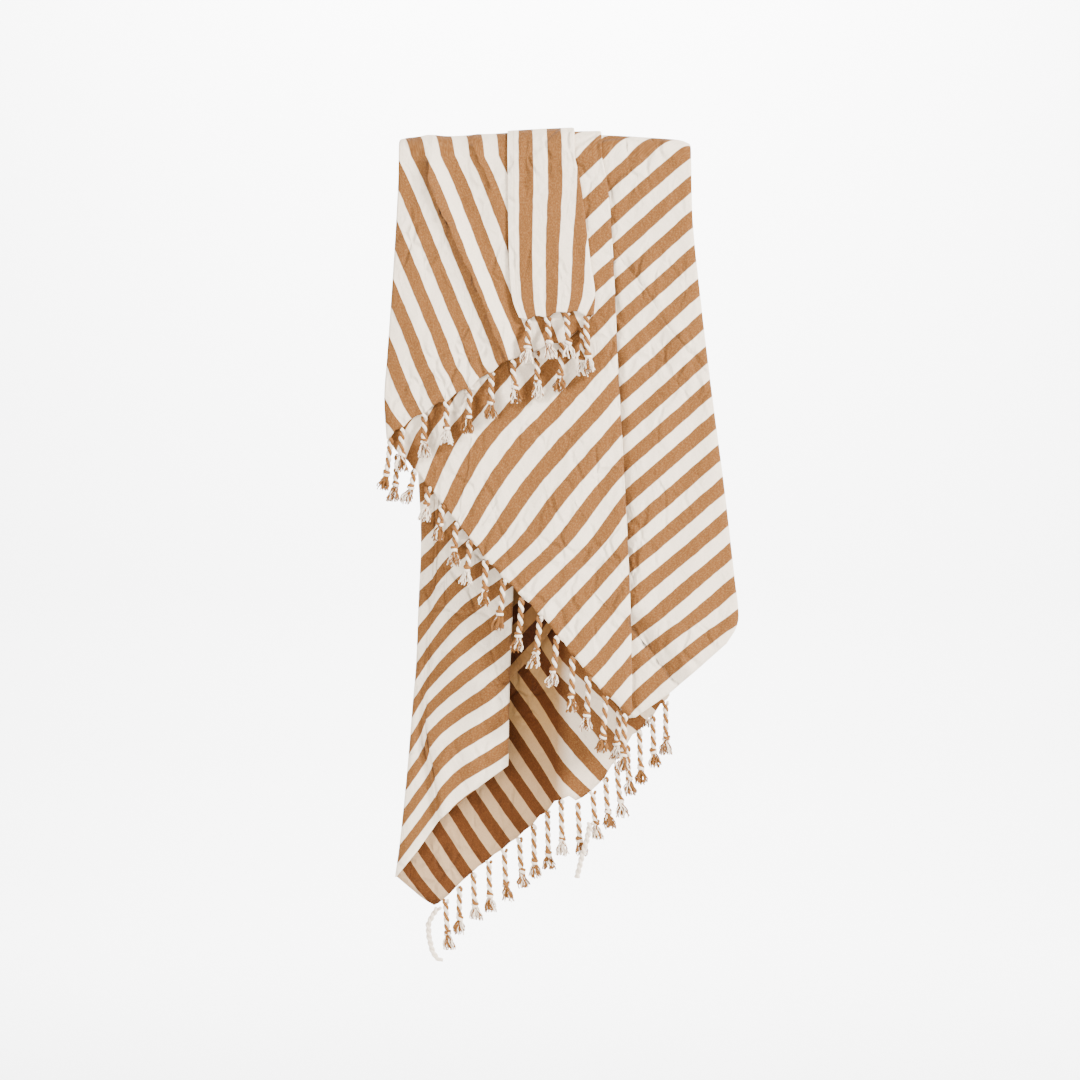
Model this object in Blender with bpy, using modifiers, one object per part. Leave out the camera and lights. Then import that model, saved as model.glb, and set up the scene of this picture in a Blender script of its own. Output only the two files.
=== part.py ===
"""A striped flat-woven hammam towel with knotted tassels, hanging in loose diagonal folds.

The towel hangs over a bar that is not part of it. The origin is on the bar's axis: +Z is up, the
front is at -Y and +X is to the right, as seen from the front. The cloth is one rectangle, gathered
from side to side like a flattened zigzag. Eleven panels lie between twelve lines, which are its
selvedges and folds. Every panel hangs in front of the bar, goes over it and hangs behind it.
"""

import math

import bmesh
import bpy
from mathutils import Vector

MM = 0.001

# The cloth and how its layers lie on each other.
CLOTH = 1.3 * MM
BAR_LAYER = 12.9 * MM
STEP_AT_BAR = 2.4 * MM
STEP_BELOW = 7.0 * MM
SPREAD_DROP = 380 * MM
LOOSE_FROM = 40 * MM
LOOSE_BY = 420 * MM
LATE_FROM = 590 * MM
LATE_BY = 680 * MM
FOLD_INSET = 2.2 * MM
WIDEST_FOLD = 0.25
LEAST_WIDTH = 0.1 * MM
LEVEL_RISE = 8.0

# A slow ripple runs down every panel, as a share of the step between layers.
RIPPLE = 0.12
RIPPLE_LENGTH = 230 * MM
RIPPLE_FROM_BAR = 90 * MM
RIPPLE_ACROSS = 2.3
RIPPLE_BY_PANEL = 0.37
RIDGE_FADE = 60

# How finely the cloth is divided: rows along its length, and each panel's columns besides its own.
SPARE_COLUMNS = 3
FRONT_ROWS = 12
BAR_ROWS = 5
BACK_ROWS = 16

# The fringe: a narrow strip under each hem, and the tassels that grow from it.
HEM_GAP = 0.75 * MM
STRIP_DEPTH = 3.4 * MM
ROOT_HALF = 2.6 * MM
FOLD_CLEARANCE = 6.5 * MM
TASSELS = 30
FIRST_TASSEL = 0.375
STAND_OFF_BY = 12 * MM
CLEAR_OF_ROOT = 0.6 * MM
LEAST_STATION = 0.2 * MM

FRONT = "front"
BACK = "back"

# Each line's way down the front and down the back, in millimetres: (drop, across).
LINES = [
    {"name": "wrap_selvedge",
     FRONT: [(0, -44), (120, -42), (169, -38), (196, -28)],
     BACK: [(0, -44), (300, -38), (500, -27)]},
    {"name": "wrap_fold",
     FRONT: [(0, 34), (37, 42), (119, 52), (163, 58), (192, 56)],
     BACK: [(0, 34), (300, 36), (505, 32)]},
    {"name": "left_fold",
     FRONT: [(0, -171), (41, -172), (148, -178), (238, -184), (285, -187), (336, -184)],
     BACK: [(0, -171), (250, -148), (530, -115)]},
    {"name": "middle_fold",
     FRONT: [(0, 66), (41, 74), (132, 80), (250, 85), (392, 93), (521, 99), (614, 101), (661, 100)],
     BACK: [(0, 66), (300, 80), (575, 85)]},
    {"name": "tuck_fold",
     FRONT: [(0, 48), (132, 52), (392, 58), (625, 68)],
     BACK: [(0, 48), (300, 54), (582, 60)]},
    {"name": "right_fold",
     FRONT: [(0, 171), (76, 173), (158, 181), (277, 195), (392, 210), (497, 222), (554, 226)],
     BACK: [(0, 171), (250, 176), (450, 165), (640, 148)]},
    {"name": "inner_fold",
     FRONT: [(0, -163), (108, -157), (352, -129)],
     BACK: [(0, -163), (285, -156), (379, -147), (450, -140), (526, -143), (600, -150),
            (640, -157), (729, -163), (807, -171), (851, -177)]},
    {"name": "pleat_root",
     FRONT: [(0, -135), (322, -105)],
     BACK: [(0, -135), (450, -131), (600, -142), (674, -145), (719, -137), (784, -127)]},
    {"name": "pleat_edge",
     FRONT: [(0, -130), (316, -99)],
     BACK: [(0, -130), (450, -126), (600, -137), (674, -140), (719, -132), (779, -122)]},
    {"name": "roll_edge",
     FRONT: [(0, -42), (222, -20)],
     BACK: [(0, -42), (400, -40), (504, -38), (612, -42), (717, -44)]},
    {"name": "roll_root",
     FRONT: [(0, -28), (206, -6)],
     BACK: [(0, -28), (250, -31), (330, -38), (400, -47), (520, -76), (665, -85)]},
    {"name": "end_selvedge",
     FRONT: [(0, 160), (40, 160)],
     BACK: [(0, 160), (110, 160)]},
]

# Each panel: the bands that it keeps to, counted outwards from the bar's own layer, in front,
# behind near the bar and behind lower down, and its inner columns. "late" is what the pleat adds
# to the band once it opens, low down behind.
PANELS = [
    {"name": "wrap", "front": 6, "back": 6, "low": 7.3, "columns": 1},
    {"name": "left", "front": 5, "back": 5, "low": 6.7, "columns": 5},
    {"name": "middle", "front": 4, "back": 4, "low": 6.1, "columns": 6},
    {"name": "tuck", "front": 3, "back": 3, "low": 5.5, "columns": 0},
    {"name": "right", "front": 2, "back": 2, "low": 4.9, "columns": 3},
    {"name": "under", "front": 1, "back": 1, "low": 4.2, "columns": 7},
    {"name": "edge", "front": 0, "back": 0, "low": 0.0, "late": 1.1, "columns": 0},
    {"name": "pleat", "front": 0, "back": 0, "low": 0.0, "late": 0.55, "columns": 0},
    {"name": "roll", "front": 0, "back": 0, "low": 0.0, "columns": 3},
    {"name": "return", "front": 0, "back": 0, "low": 1.6, "columns": 0},
    {"name": "inner", "front": 0, "back": 0, "low": 3.0, "columns": 4},
]

# Lower edges between the lines' ends, in millimetres: (drop, across). A panel that is not
# listed ends in a straight edge.
LOWER_EDGES = {
    (FRONT, "wrap"): [(193, 2), (187, 25)],
    (FRONT, "left"): [(218, 30), (232, -11), (245, -45), (278, -93), (304, -140), (323, -169)],
    (FRONT, "middle"): [(354, -170), (370, -152), (416, -116), (481, -65), (548, 1), (625, 61)],
    (FRONT, "right"): [(661, 101), (630, 145), (602, 178), (569, 215)],
    (BACK, "left"): [(515, -40)],
    (BACK, "middle"): [(552, -10)],
    (BACK, "right"): [(605, 110)],
    (BACK, "under"): [(662, 128), (688, 104), (715, 86), (745, 65), (765, 41), (758, 22), (764, 14),
                      (804, -27), (849, -86), (889, -127), (879, -145)],
    (BACK, "inner"): [(614, -40), (565, 8), (380, 100)],
}
HEM_CORNER_DROP = 889

# Which stripe, counted from the wrap's selvedge, meets each share of a panel's hem.
FRONT_HEM = [
    {"panel": "wrap", "stripes": [(0.0, 0.0), (1.0, 3.8)]},
    {"panel": "left", "stripes": [(0.0, 3.8), (0.93, 12.5), (1.0, 13.6)]},
    {"panel": "middle", "stripes": [(0.0, 13.6), (0.35, 19.4), (1.0, 28.75)]},
    {"panel": "tuck", "stripes": [(0.0, 28.75), (1.0, 30.2)]},
]
BACK_HEM = [
    {"panel": "wrap", "stripes": [(0.0, 0.0), (1.0, 1.9)]},
    {"panel": "left", "stripes": [(0.0, 1.9), (1.0, 5.0)]},
    {"panel": "middle", "stripes": [(0.0, 5.0), (1.0, 10.2)]},
    {"panel": "tuck", "stripes": [(0.0, 10.2), (1.0, 11.2)]},
    {"panel": "right", "stripes": [(0.0, 11.2), (1.0, 13.1)]},
    {"panel": "under", "stripes": [(0.0, 13.1), (1.0, 29.9)]},
]

# Soft ridges that stand towards the front: way down in millimetres, height, half width and side.
RIDGES = [
    {"panel": "left", "side": FRONT, "way": [(20, -138), (90, -125), (240, -55)],
     "height": 3.2 * MM, "half": 11 * MM},
    {"panel": "left", "side": FRONT, "way": [(60, -170), (190, -150), (300, -120)],
     "height": 2.0 * MM, "half": 14 * MM},
    {"panel": "middle", "side": FRONT, "way": [(340, 38), (440, 12), (530, -25)],
     "height": 2.5 * MM, "half": 30 * MM},
    {"panel": "right", "side": FRONT, "way": [(90, 92), (250, 172), (420, 260)],
     "height": 2.0 * MM, "half": 9 * MM},
    {"panel": "roll", "side": BACK, "way": [(430, -100), (700, -80)],
     "height": 10.0 * MM, "half": 38 * MM},
    {"panel": "under", "side": BACK, "way": [(600, 12), (680, 14), (770, 24)],
     "height": 9.0 * MM, "half": 16 * MM},
]

# How far the folds bunched round the bar lift the top edge, in millimetres: (across, lift).
CROWN = [(-175, -1), (-110, 1), (-44, 5), (0, 7.5), (60, 9.5), (90, 8.5), (150, 4.5), (175, 0)]

# A tassel's shape from its root down: distance, half width and turn of its square section.
TASSEL_SECTIONS = [
    {"distance": 5 * MM, "half": 2.7 * MM, "turn": 0},
    {"distance": 12 * MM, "half": 2.9 * MM, "turn": 45},
    {"distance": 19 * MM, "half": 2.9 * MM, "turn": 90},
    {"distance": 26 * MM, "half": 2.9 * MM, "turn": 135},
    {"distance": 33 * MM, "half": 2.9 * MM, "turn": 180},
    {"distance": 40 * MM, "half": 2.8 * MM, "turn": 225},
    {"distance": 45 * MM, "half": 3.7 * MM, "turn": 250},
    {"distance": 50 * MM, "half": 2.9 * MM, "turn": 270},
    {"distance": 59 * MM, "half": 4.0 * MM, "turn": 290},
    {"distance": 69 * MM, "half": 4.8 * MM, "turn": 300},
]

# How far in front of its hem's layer each panel's tassels hang.
STAND_OFF = {
    (FRONT, "wrap"): 10.0 * MM,
    (FRONT, "left"): 7.0 * MM,
    (FRONT, "middle"): 2.4 * MM,
    (FRONT, "tuck"): -6.5 * MM,
    (BACK, "wrap"): -15.0 * MM,
    (BACK, "left"): -4.0 * MM,
    (BACK, "middle"): -3.5 * MM,
    (BACK, "tuck"): -3.0 * MM,
    (BACK, "right"): -3.5 * MM,
    (BACK, "under"): 5.4 * MM,
}

# How far each tassel leans to the right by its end, in millimetres, from the wrap's hem on.
LEANS = {
    FRONT: [-3, 7, 5, 5, -2, -4, 2, 6, -1, -5, -1, 2, -1, -10, -8, -8, -4, -6, -3, -8, -4, -10, -7,
            -10, -8, -1, -4, -6, -2, -6],
    BACK: [0, 0, -6, 0, 1, 0, -2, 0, 8, 2, 0, 0, 0, 0, 3, 2, 4, 8, 6, 8, 5, 2, 2, 2, 6, 5, 3, 5,
           -1, 6],
}


def clear_scene():
    for item in list(bpy.data.objects):
        bpy.data.objects.remove(item, do_unlink=True)


def make_material(name, colour, roughness):
    material = bpy.data.materials.new(name)
    material.use_nodes = True
    shader = material.node_tree.nodes["Principled BSDF"]
    shader.inputs["Base Color"].default_value = (*colour, 1.0)
    shader.inputs["Roughness"].default_value = roughness
    shader.inputs["Metallic"].default_value = 0.0
    return material


def ease(value):
    value = min(max(value, 0.0), 1.0)
    return value * value * (3.0 - 2.0 * value)


def follow(rows, place):
    """A smooth curve through rows of (place, value), level beyond both ends."""
    if place <= rows[0][0]:
        return rows[0][1]
    if place >= rows[-1][0]:
        return rows[-1][1]
    at = max(i for i in range(len(rows) - 1) if rows[i][0] <= place)
    low, high = rows[at], rows[at + 1]
    before = rows[max(at - 1, 0)]
    after = rows[min(at + 2, len(rows) - 1)]
    width = high[0] - low[0]
    start = (high[1] - before[1]) / (high[0] - before[0]) * width
    end = (after[1] - low[1]) / (after[0] - low[0]) * width
    t = (place - low[0]) / width
    return (low[1] * (2 * t ** 3 - 3 * t ** 2 + 1) + start * (t ** 3 - 2 * t ** 2 + t)
            + high[1] * (3 * t ** 2 - 2 * t ** 3) + end * (t ** 3 - t ** 2))


def line_across(side, line, drop):
    return follow(LINES[line][side], drop / MM) * MM


def across(side, panel, fraction, drop):
    first = line_across(side, panel, drop)
    second = line_across(side, panel + 1, drop)
    return first + (second - first) * fraction


def lower_edge(side, panel):
    """The panel's lower edge as (fraction, drop), from its first line to its second."""
    points = [LINES[panel][side][-1], LINES[panel + 1][side][-1]]
    points[1:1] = LOWER_EDGES.get((side, PANELS[panel]["name"]), [])
    edge = []
    for drop, place in points:
        first = line_across(side, panel, drop * MM)
        second = line_across(side, panel + 1, drop * MM)
        edge.append(((place * MM - first) / (second - first), drop * MM))
    return [(0.0, edge[0][1])] + edge[1:-1] + [(1.0, edge[-1][1])]


def mix_rows(rows, place):
    """The straight-line value at a place among rows of (place, value)."""
    for (start, first), (end, second) in zip(rows, rows[1:]):
        if place <= end:
            return first + (second - first) * (place - start) / (end - start)
    return rows[-1][1]


def band(side, panel, drop):
    """How many layers out from the bar's own layer the panel lies."""
    row = PANELS[panel]
    if side == FRONT:
        return row["front"]
    share = ease((drop - LOOSE_FROM) / (LOOSE_BY - LOOSE_FROM))
    late = row.get("late", 0.0) * ease((drop - LATE_FROM) / (LATE_BY - LATE_FROM))
    return row["back"] + (row["low"] - row["back"]) * share + late


def layer_step(drop):
    return STEP_AT_BAR + (STEP_BELOW - STEP_AT_BAR) * ease(drop / SPREAD_DROP)


def inset(side, panel, drop):
    """The share of a panel's width that turns into the fold at each side."""
    width = abs(line_across(side, panel + 1, drop) - line_across(side, panel, drop))
    return min(FOLD_INSET / max(width, LEAST_WIDTH), WIDEST_FOLD)


def ridge_height(side, panel, place, drop):
    total = 0.0
    for ridge in RIDGES:
        if ridge["side"] != side or ridge["panel"] != PANELS[panel]["name"]:
            continue
        way = ridge["way"]
        apart = (place - follow(way, drop / MM) * MM) / ridge["half"]
        start, end = way[0][0], way[-1][0]
        fade = ease((drop / MM - start) / RIDGE_FADE)
        fade *= ease((end + RIDGE_FADE - drop / MM) / RIDGE_FADE)
        total += ridge["height"] * fade * math.exp(-apart * apart)
    return total


def surface_point(side, panel, fraction, drop):
    """A point in the middle of the cloth, below the bar."""
    place = across(side, panel, fraction, drop)
    margin = inset(side, panel, drop)
    own = band(side, panel, drop)
    count = own
    if fraction < margin and panel > 0:
        share = 0.5 * (1.0 - fraction / margin)
        count = own + (band(side, panel - 1, drop) - own) * share
    if fraction > 1.0 - margin and panel < len(PANELS) - 1:
        share = 0.5 * (1.0 - (1.0 - fraction) / margin)
        count = own + (band(side, panel + 1, drop) - own) * share
    depth = BAR_LAYER + layer_step(drop) * count
    level = ease(min(fraction, 1.0 - fraction) * LEVEL_RISE)
    turns = drop / RIPPLE_LENGTH + RIPPLE_ACROSS * fraction + RIPPLE_BY_PANEL * panel
    ripple = RIPPLE * layer_step(drop) * ease(drop / RIPPLE_FROM_BAR)
    forward = ripple * math.sin(2 * math.pi * turns) * level
    forward += ridge_height(side, panel, place, drop) * level
    if side == FRONT:
        return Vector((place, -depth - forward, -drop))
    return Vector((place, depth - forward, -drop))


def bar_point(panel, fraction, turn):
    """A point in the middle of the cloth where it goes over the bar, by its turn from the front."""
    start = surface_point(FRONT, panel, fraction, 0.0)
    lift = follow(CROWN, start.x / MM) * MM
    radius = -start.y
    return Vector((start.x, -radius * math.cos(turn), (radius + lift) * math.sin(turn)))


def column_places():
    """Every column of the cloth as (panel, place), where place 0 is the panel's first line."""
    places = []
    for panel, row in enumerate(PANELS):
        count = row["columns"] + SPARE_COLUMNS
        places += [(panel, step / count) for step in range(count)]
    return places + [(len(PANELS) - 1, 1.0)]


def corner_share(panel):
    """The share of the panel's width at which the rear hem turns the towel's corner."""
    return [share for share, drop in lower_edge(BACK, panel) if drop == HEM_CORNER_DROP * MM][0]


def column_fraction(side, panel, place, drop):
    """The share of the panel's width that a column lies at: only the fold's own columns shift."""
    count = PANELS[panel]["columns"] + SPARE_COLUMNS
    step = round(place * count)
    margin = inset(side, panel, drop)
    if step == 0:
        return 0.0
    if step == count:
        return 1.0
    spots = [margin + (1.0 - 2.0 * margin) * i / (count - 2) for i in range(count - 1)]
    if side == BACK and PANELS[panel]["name"] == "under":
        spots[-2] = corner_share(panel)
    return spots[step - 1]


def column_bottom(side, panel, place):
    edge = lower_edge(side, panel)
    drop = mix_rows(edge, place)
    for _ in range(3):
        drop = mix_rows(edge, column_fraction(side, panel, place, drop))
    return drop


def column_points(panel, place):
    """One column of the cloth, from its front lower edge over the bar to its back lower edge."""
    points = []
    front_bottom = column_bottom(FRONT, panel, place)
    for row in range(FRONT_ROWS, 0, -1):
        drop = front_bottom * row / FRONT_ROWS
        points.append(surface_point(FRONT, panel, column_fraction(FRONT, panel, place, drop), drop))
    fraction = column_fraction(FRONT, panel, place, 0.0)
    for row in range(BAR_ROWS + 1):
        points.append(bar_point(panel, fraction, math.pi * row / BAR_ROWS))
    back_bottom = column_bottom(BACK, panel, place)
    for row in range(1, BACK_ROWS + 1):
        drop = back_bottom * row / BACK_ROWS
        points.append(surface_point(BACK, panel, column_fraction(BACK, panel, place, drop), drop))
    return points


def add_object(name, mesh, collection, material):
    item = bpy.data.objects.new(name, mesh)
    item.data.materials.append(material)
    collection.objects.link(item)
    return item


def make_cloth(collection, material):
    """The towel's cloth: a grid laid along the folds, then given its thickness."""
    columns = [column_points(panel, place) for panel, place in column_places()]
    rows = len(columns[0])
    shape = bmesh.new()
    bmesh.ops.create_grid(shape, x_segments=len(columns) - 1, y_segments=rows - 1, size=0.5)
    for vertex in shape.verts:
        column = round((vertex.co.x + 0.5) * (len(columns) - 1))
        row = round((vertex.co.y + 0.5) * (rows - 1))
        vertex.co = columns[column][row]
    mesh = bpy.data.meshes.new("towel_cloth")
    shape.to_mesh(mesh)
    shape.free()
    cloth = add_object("towel_cloth", mesh, collection, material)
    wall = cloth.modifiers.new("thickness", "SOLIDIFY")
    wall.thickness = CLOTH
    wall.offset = 0.0
    return cloth


def hem_course(side, panel):
    """The panel's hem as (fraction, point below it, length from the panel's start)."""
    count = PANELS[panel]["columns"] + SPARE_COLUMNS
    edge = lower_edge(side, panel)
    course = []
    for step in range(count + 1):
        drop = column_bottom(side, panel, step / count)
        fraction = column_fraction(side, panel, step / count, drop)
        course.append((fraction, surface_point(side, panel, fraction, mix_rows(edge, fraction))))
    return course


def hem_stations(side, hem):
    """Stations along a whole hem: where each lies and which tassel, if any, starts there."""
    stations = []
    index = {row["name"]: number for number, row in enumerate(PANELS)}
    for row in hem:
        name = row["panel"]
        shares, stripes = zip(*row["stripes"])
        panel = index[name]
        course = hem_course(side, panel)
        if name == "under":
            last = max(i for i, (spot, _) in enumerate(course) if spot <= corner_share(panel))
            course = course[:last + 1]
        lengths = [0.0]
        for (_, here), (_, there) in zip(course, course[1:]):
            lengths.append(lengths[-1] + (there - here).length)
        roots = []
        for tassel in range(TASSELS):
            stripe = FIRST_TASSEL + tassel
            if not stripes[0] <= stripe < stripes[-1]:
                continue
            along = mix_rows(list(zip(stripes, shares)), stripe) * lengths[-1]
            along = min(max(along, FOLD_CLEARANCE), lengths[-1] - FOLD_CLEARANCE)
            roots.append((along, tassel))
        for (_, point), length in zip(course, lengths):
            if all(abs(length - along) > ROOT_HALF + CLEAR_OF_ROOT for along, _ in roots):
                stations.append({"panel": name, "length": length, "point": point, "tassel": None})
        for along, tassel in roots:
            for shift in (-ROOT_HALF, ROOT_HALF):
                spot = along + shift
                at = max(i for i in range(len(lengths) - 1) if lengths[i] <= spot)
                share = (spot - lengths[at]) / (lengths[at + 1] - lengths[at])
                point = course[at][1].lerp(course[at + 1][1], share)
                mark = tassel if shift < 0 else None
                stations.append({"panel": name, "length": spot, "point": point, "tassel": mark})
    order = {row["panel"]: number for number, row in enumerate(hem)}
    stations.sort(key=lambda station: (order[station["panel"]], station["length"]))
    kept = [stations[0]]
    for station in stations[1:]:
        if (station["point"] - kept[-1]["point"]).length > LEAST_STATION:
            kept.append(station)
    return kept


def tassel_centre(side, panel, tassel, root, distance):
    """Where a tassel's middle is at a distance from its root."""
    fall = distance / TASSEL_SECTIONS[-1]["distance"]
    lean = LEANS[side][tassel] * MM * fall * (0.5 + 0.5 * fall)
    forward = STAND_OFF[(side, panel)] * ease(distance / STAND_OFF_BY)
    return root + Vector((lean, -forward, -distance))


def grow_tassel(shape, quad, side, panel, tassel):
    """A tassel lofted down from four points of the strip's underside."""
    root = sum((vertex.co for vertex in quad), Vector()) / 4
    heading = math.atan2(quad[0].co.y - root.y, quad[0].co.x - root.x)
    turns = math.copysign(1.0, (quad[0].co - root).cross(quad[1].co - root).z)
    last = quad
    for section in TASSEL_SECTIONS:
        centre = tassel_centre(side, panel, tassel, root, section["distance"])
        reach = section["half"] * math.sqrt(2)
        ring = []
        for corner in range(4):
            angle = heading + turns * math.pi / 2 * corner + math.radians(section["turn"])
            spot = centre + reach * Vector((math.cos(angle), math.sin(angle), 0))
            ring.append(shape.verts.new(spot))
        for corner in range(4):
            after = (corner + 1) % 4
            shape.faces.new((last[corner], last[after], ring[after], ring[corner]))
        last = ring
    shape.faces.new(last)


def make_fringe(name, side, hem, collection, material):
    """The fringe of one hem: its narrow backing strip and the tassels that hang from it."""
    stations = hem_stations(side, hem)
    shape = bmesh.new()
    rings = []
    for number, station in enumerate(stations):
        here = station["point"]
        before = stations[max(number - 1, 0)]["point"]
        after = stations[min(number + 1, len(stations) - 1)]["point"]
        along = ((here - before).xy.normalized() + (after - here).xy.normalized()).to_3d()
        out = Vector((along.y, -along.x, 0.0)).normalized() * CLOTH / 2
        upper = here - Vector((0, 0, HEM_GAP))
        lower = upper - Vector((0, 0, STRIP_DEPTH))
        corners = (upper + out, upper - out, lower - out, lower + out)
        rings.append([shape.verts.new(corner) for corner in corners])
    shape.faces.new(rings[0])
    shape.faces.new(rings[-1])
    for station, here, there in zip(stations, rings, rings[1:]):
        for corner in range(3):
            if corner == 2 and station["tassel"] is not None:
                quad = (here[2], here[3], there[3], there[2])
                grow_tassel(shape, quad, side, station["panel"], station["tassel"])
                continue
            after = corner + 1
            shape.faces.new((here[corner], here[after], there[after], there[corner]))
        shape.faces.new((here[3], here[0], there[0], there[3]))
    bmesh.ops.recalc_face_normals(shape, faces=shape.faces)
    bmesh.ops.triangulate(shape, faces=shape.faces)
    mesh = bpy.data.meshes.new(name)
    shape.to_mesh(mesh)
    shape.free()
    return add_object(name, mesh, collection, material)


def main():
    clear_scene()
    collection = bpy.data.collections.new("hammam_towel")
    bpy.context.scene.collection.children.link(collection)
    weave = make_material("striped_cotton", (0.68, 0.52, 0.36), 0.9)
    cord = make_material("tassel_cotton", (0.60, 0.36, 0.14), 0.9)
    make_cloth(collection, weave)
    make_fringe("front_fringe", FRONT, FRONT_HEM, collection, cord)
    make_fringe("back_fringe", BACK, BACK_HEM, collection, cord)


main()
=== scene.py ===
# %% [markdown]
# # A striped hammam towel that hangs in loose diagonal folds
#
# One sheet of flat-woven cotton hangs over a bar that isn't shown. It is gathered from side to
# side like a flattened zigzag, so this script builds it as eleven panels between twelve lines:
# two selvedges and ten folds. Lengths are in metres unless a table says millimetres. The origin
# is on the bar's axis, +Z is up and the front is at -Y.

import math

import bpy
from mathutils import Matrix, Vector, noise


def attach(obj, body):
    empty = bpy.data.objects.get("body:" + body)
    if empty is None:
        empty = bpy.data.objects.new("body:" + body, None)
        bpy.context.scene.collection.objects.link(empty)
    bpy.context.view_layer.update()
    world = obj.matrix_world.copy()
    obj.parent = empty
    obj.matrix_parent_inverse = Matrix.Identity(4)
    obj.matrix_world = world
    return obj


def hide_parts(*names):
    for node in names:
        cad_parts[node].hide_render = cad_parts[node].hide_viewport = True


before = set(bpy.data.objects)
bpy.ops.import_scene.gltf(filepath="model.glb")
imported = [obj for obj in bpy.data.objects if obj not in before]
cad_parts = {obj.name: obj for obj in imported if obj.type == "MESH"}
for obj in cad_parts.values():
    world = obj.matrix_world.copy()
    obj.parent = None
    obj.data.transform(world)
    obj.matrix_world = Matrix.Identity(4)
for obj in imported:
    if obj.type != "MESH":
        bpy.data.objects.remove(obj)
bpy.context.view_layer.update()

# %% [markdown]
# ## The lines and the panels
#
# The tables have the same lines and panels as the solid. `front_stripes` and `back_stripes` say
# which stripe lies on a line at each drop. One stripe is one cream and tan pair, 33.4 mm wide,
# and they are counted from the wrap's selvedge. Because the stripes belong to the lines, they
# turn round every fold with the cloth.

# %% Units and sides
MM = 0.001
FRONT = "front"
BACK = "back"
print("one millimetre is", MM, "m")

# %% The lines, in millimetres
# Name, way in front and behind as (drop, across), stripes in front and behind as (drop, stripe)
LINE_ROWS = [
    ("wrap_selvedge",
     [(0, -44), (120, -42), (169, -38), (196, -28)],
     [(0, -44), (300, -38), (500, -27)],
     [(0, 0.0)], [(0, 0.0)]),
    ("wrap_fold",
     [(0, 34), (37, 42), (119, 52), (163, 58), (192, 56)],
     [(0, 34), (300, 36), (505, 32)],
     [(0, 2.3), (73, 2.75), (167, 3.4), (192, 3.8), (215, 4.1), (245, 4.4), (261, 4.95), (300, 5.5)],
     [(0, 2.4), (505, 1.9)]),
    ("left_fold",
     [(0, -171), (41, -172), (148, -178), (238, -184), (285, -187), (336, -184)],
     [(0, -171), (250, -148), (530, -115)],
     [(0, 8.3), (21, 8.625), (92, 9.625), (160, 10.625), (227, 11.625), (300, 12.625), (332, 13.3),
      (440, 14.6), (497, 16.1), (526, 16.75), (575, 17.6), (625, 19.0)],
     [(0, 7.7), (530, 5.0)]),
    ("middle_fold",
     [(0, 66), (41, 74), (132, 80), (250, 85), (392, 93), (521, 99), (614, 101), (661, 100)],
     [(0, 66), (300, 80), (575, 85)],
     [(0, 12.85), (25, 13.4), (73, 14.4), (120, 15.4), (167, 16.5), (214, 17.5), (261, 18.5),
      (309, 19.5), (356, 20.5), (403, 21.56), (450, 22.5), (497, 23.57), (663, 27.1)],
     [(0, 11.4), (575, 10.2)]),
    ("tuck_fold",
     [(0, 48), (132, 52), (392, 58), (625, 68)],
     [(0, 48), (300, 54), (582, 60)],
     [(0, 13.4), (73, 15.08), (167, 17.31), (261, 19.47), (356, 21.77), (450, 24.11), (497, 25.35),
      (545, 26.48), (580, 27.45), (615, 28.32), (660, 29.3)],
     [(0, 12.1), (582, 11.2)]),
    ("right_fold",
     [(0, 171), (76, 173), (158, 181), (277, 195), (392, 210), (497, 222), (530, 226), (545, 226),
      (556, 222)],
     [(0, 171), (250, 176), (450, 165), (640, 148)],
     [(0, 15.85), (120, 18.8), (278, 22.8), (403, 26.1), (554, 30.0), (661, 32.8)],
     [(0, 14.3), (300, 14.3), (565, 15.6), (640, 17.4)]),
]
print(len(LINE_ROWS), "lines from the wrap to the right fold")

# %% The lines of the inner layers, in millimetres
LINE_ROWS += [
    ("inner_fold",
     [(0, -163), (108, -157), (352, -129)],
     [(0, -163), (285, -156), (379, -150), (450, -147), (526, -150), (600, -153), (640, -156.5),
      (729, -164), (807, -172), (851, -178)],
     [(0, 10.2), (352, 2.0)],
     [(0, 10.2), (395, 19.625), (443, 20.625), (481, 21.625), (521, 22.625), (565, 23.625),
      (851, 30.25)]),
    ("pleat_root",
     [(0, -135), (322, -105)],
     [(0, -135), (450, -131), (600, -142), (674, -145), (719, -137), (784, -127)],
     [(0, 11.0), (322, 3.5)],
     [(0, 11.0), (395, 19.9), (450, 21.25), (545, 23.6), (600, 24.9), (680, 27.0), (784, 30.25),
      (851, 32.2)]),
    ("pleat_edge",
     [(0, -130), (316, -99)],
     [(0, -130), (450, -126), (600, -137), (674, -140), (719, -132), (779, -122)],
     [(0, 11.2), (316, 3.8)],
     [(0, 11.2), (395, 20.0), (450, 21.4), (497, 22.7), (545, 23.79), (580, 24.6), (615, 25.5),
      (639, 26.2), (779, 30.25)]),
    ("roll_edge",
     [(0, -42), (222, -20)],
     [(0, -42), (400, -40), (504, -38), (612, -42), (717, -44)],
     [(0, 13.0), (222, 8.0)],
     [(0, 13.0), (400, 22.0), (450, 23.4), (497, 24.7), (545, 26.0), (580, 26.9), (615, 27.8),
      (639, 28.3), (717, 30.25), (779, 32.0)]),
    ("roll_root",
     [(0, -28), (206, -6)],
     [(0, -28), (250, -31), (330, -38), (400, -47), (520, -76), (665, -85)],
     [(0, 13.5), (206, 9.0)], [(0, 13.5), (400, 23.9), (665, 30.25), (717, 31.5)]),
    ("end_selvedge",
     [(0, 160), (40, 160)],
     [(0, 160), (110, 160)],
     [(0, 27.9), (40, 27.0)], [(0, 27.9), (110, 30.25)]),
]
LINE_KEYS = ("name", FRONT, BACK, "front_stripes", "back_stripes")
LINES = [dict(zip(LINE_KEYS, row)) for row in LINE_ROWS]
print([row["name"] for row in LINES])

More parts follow.
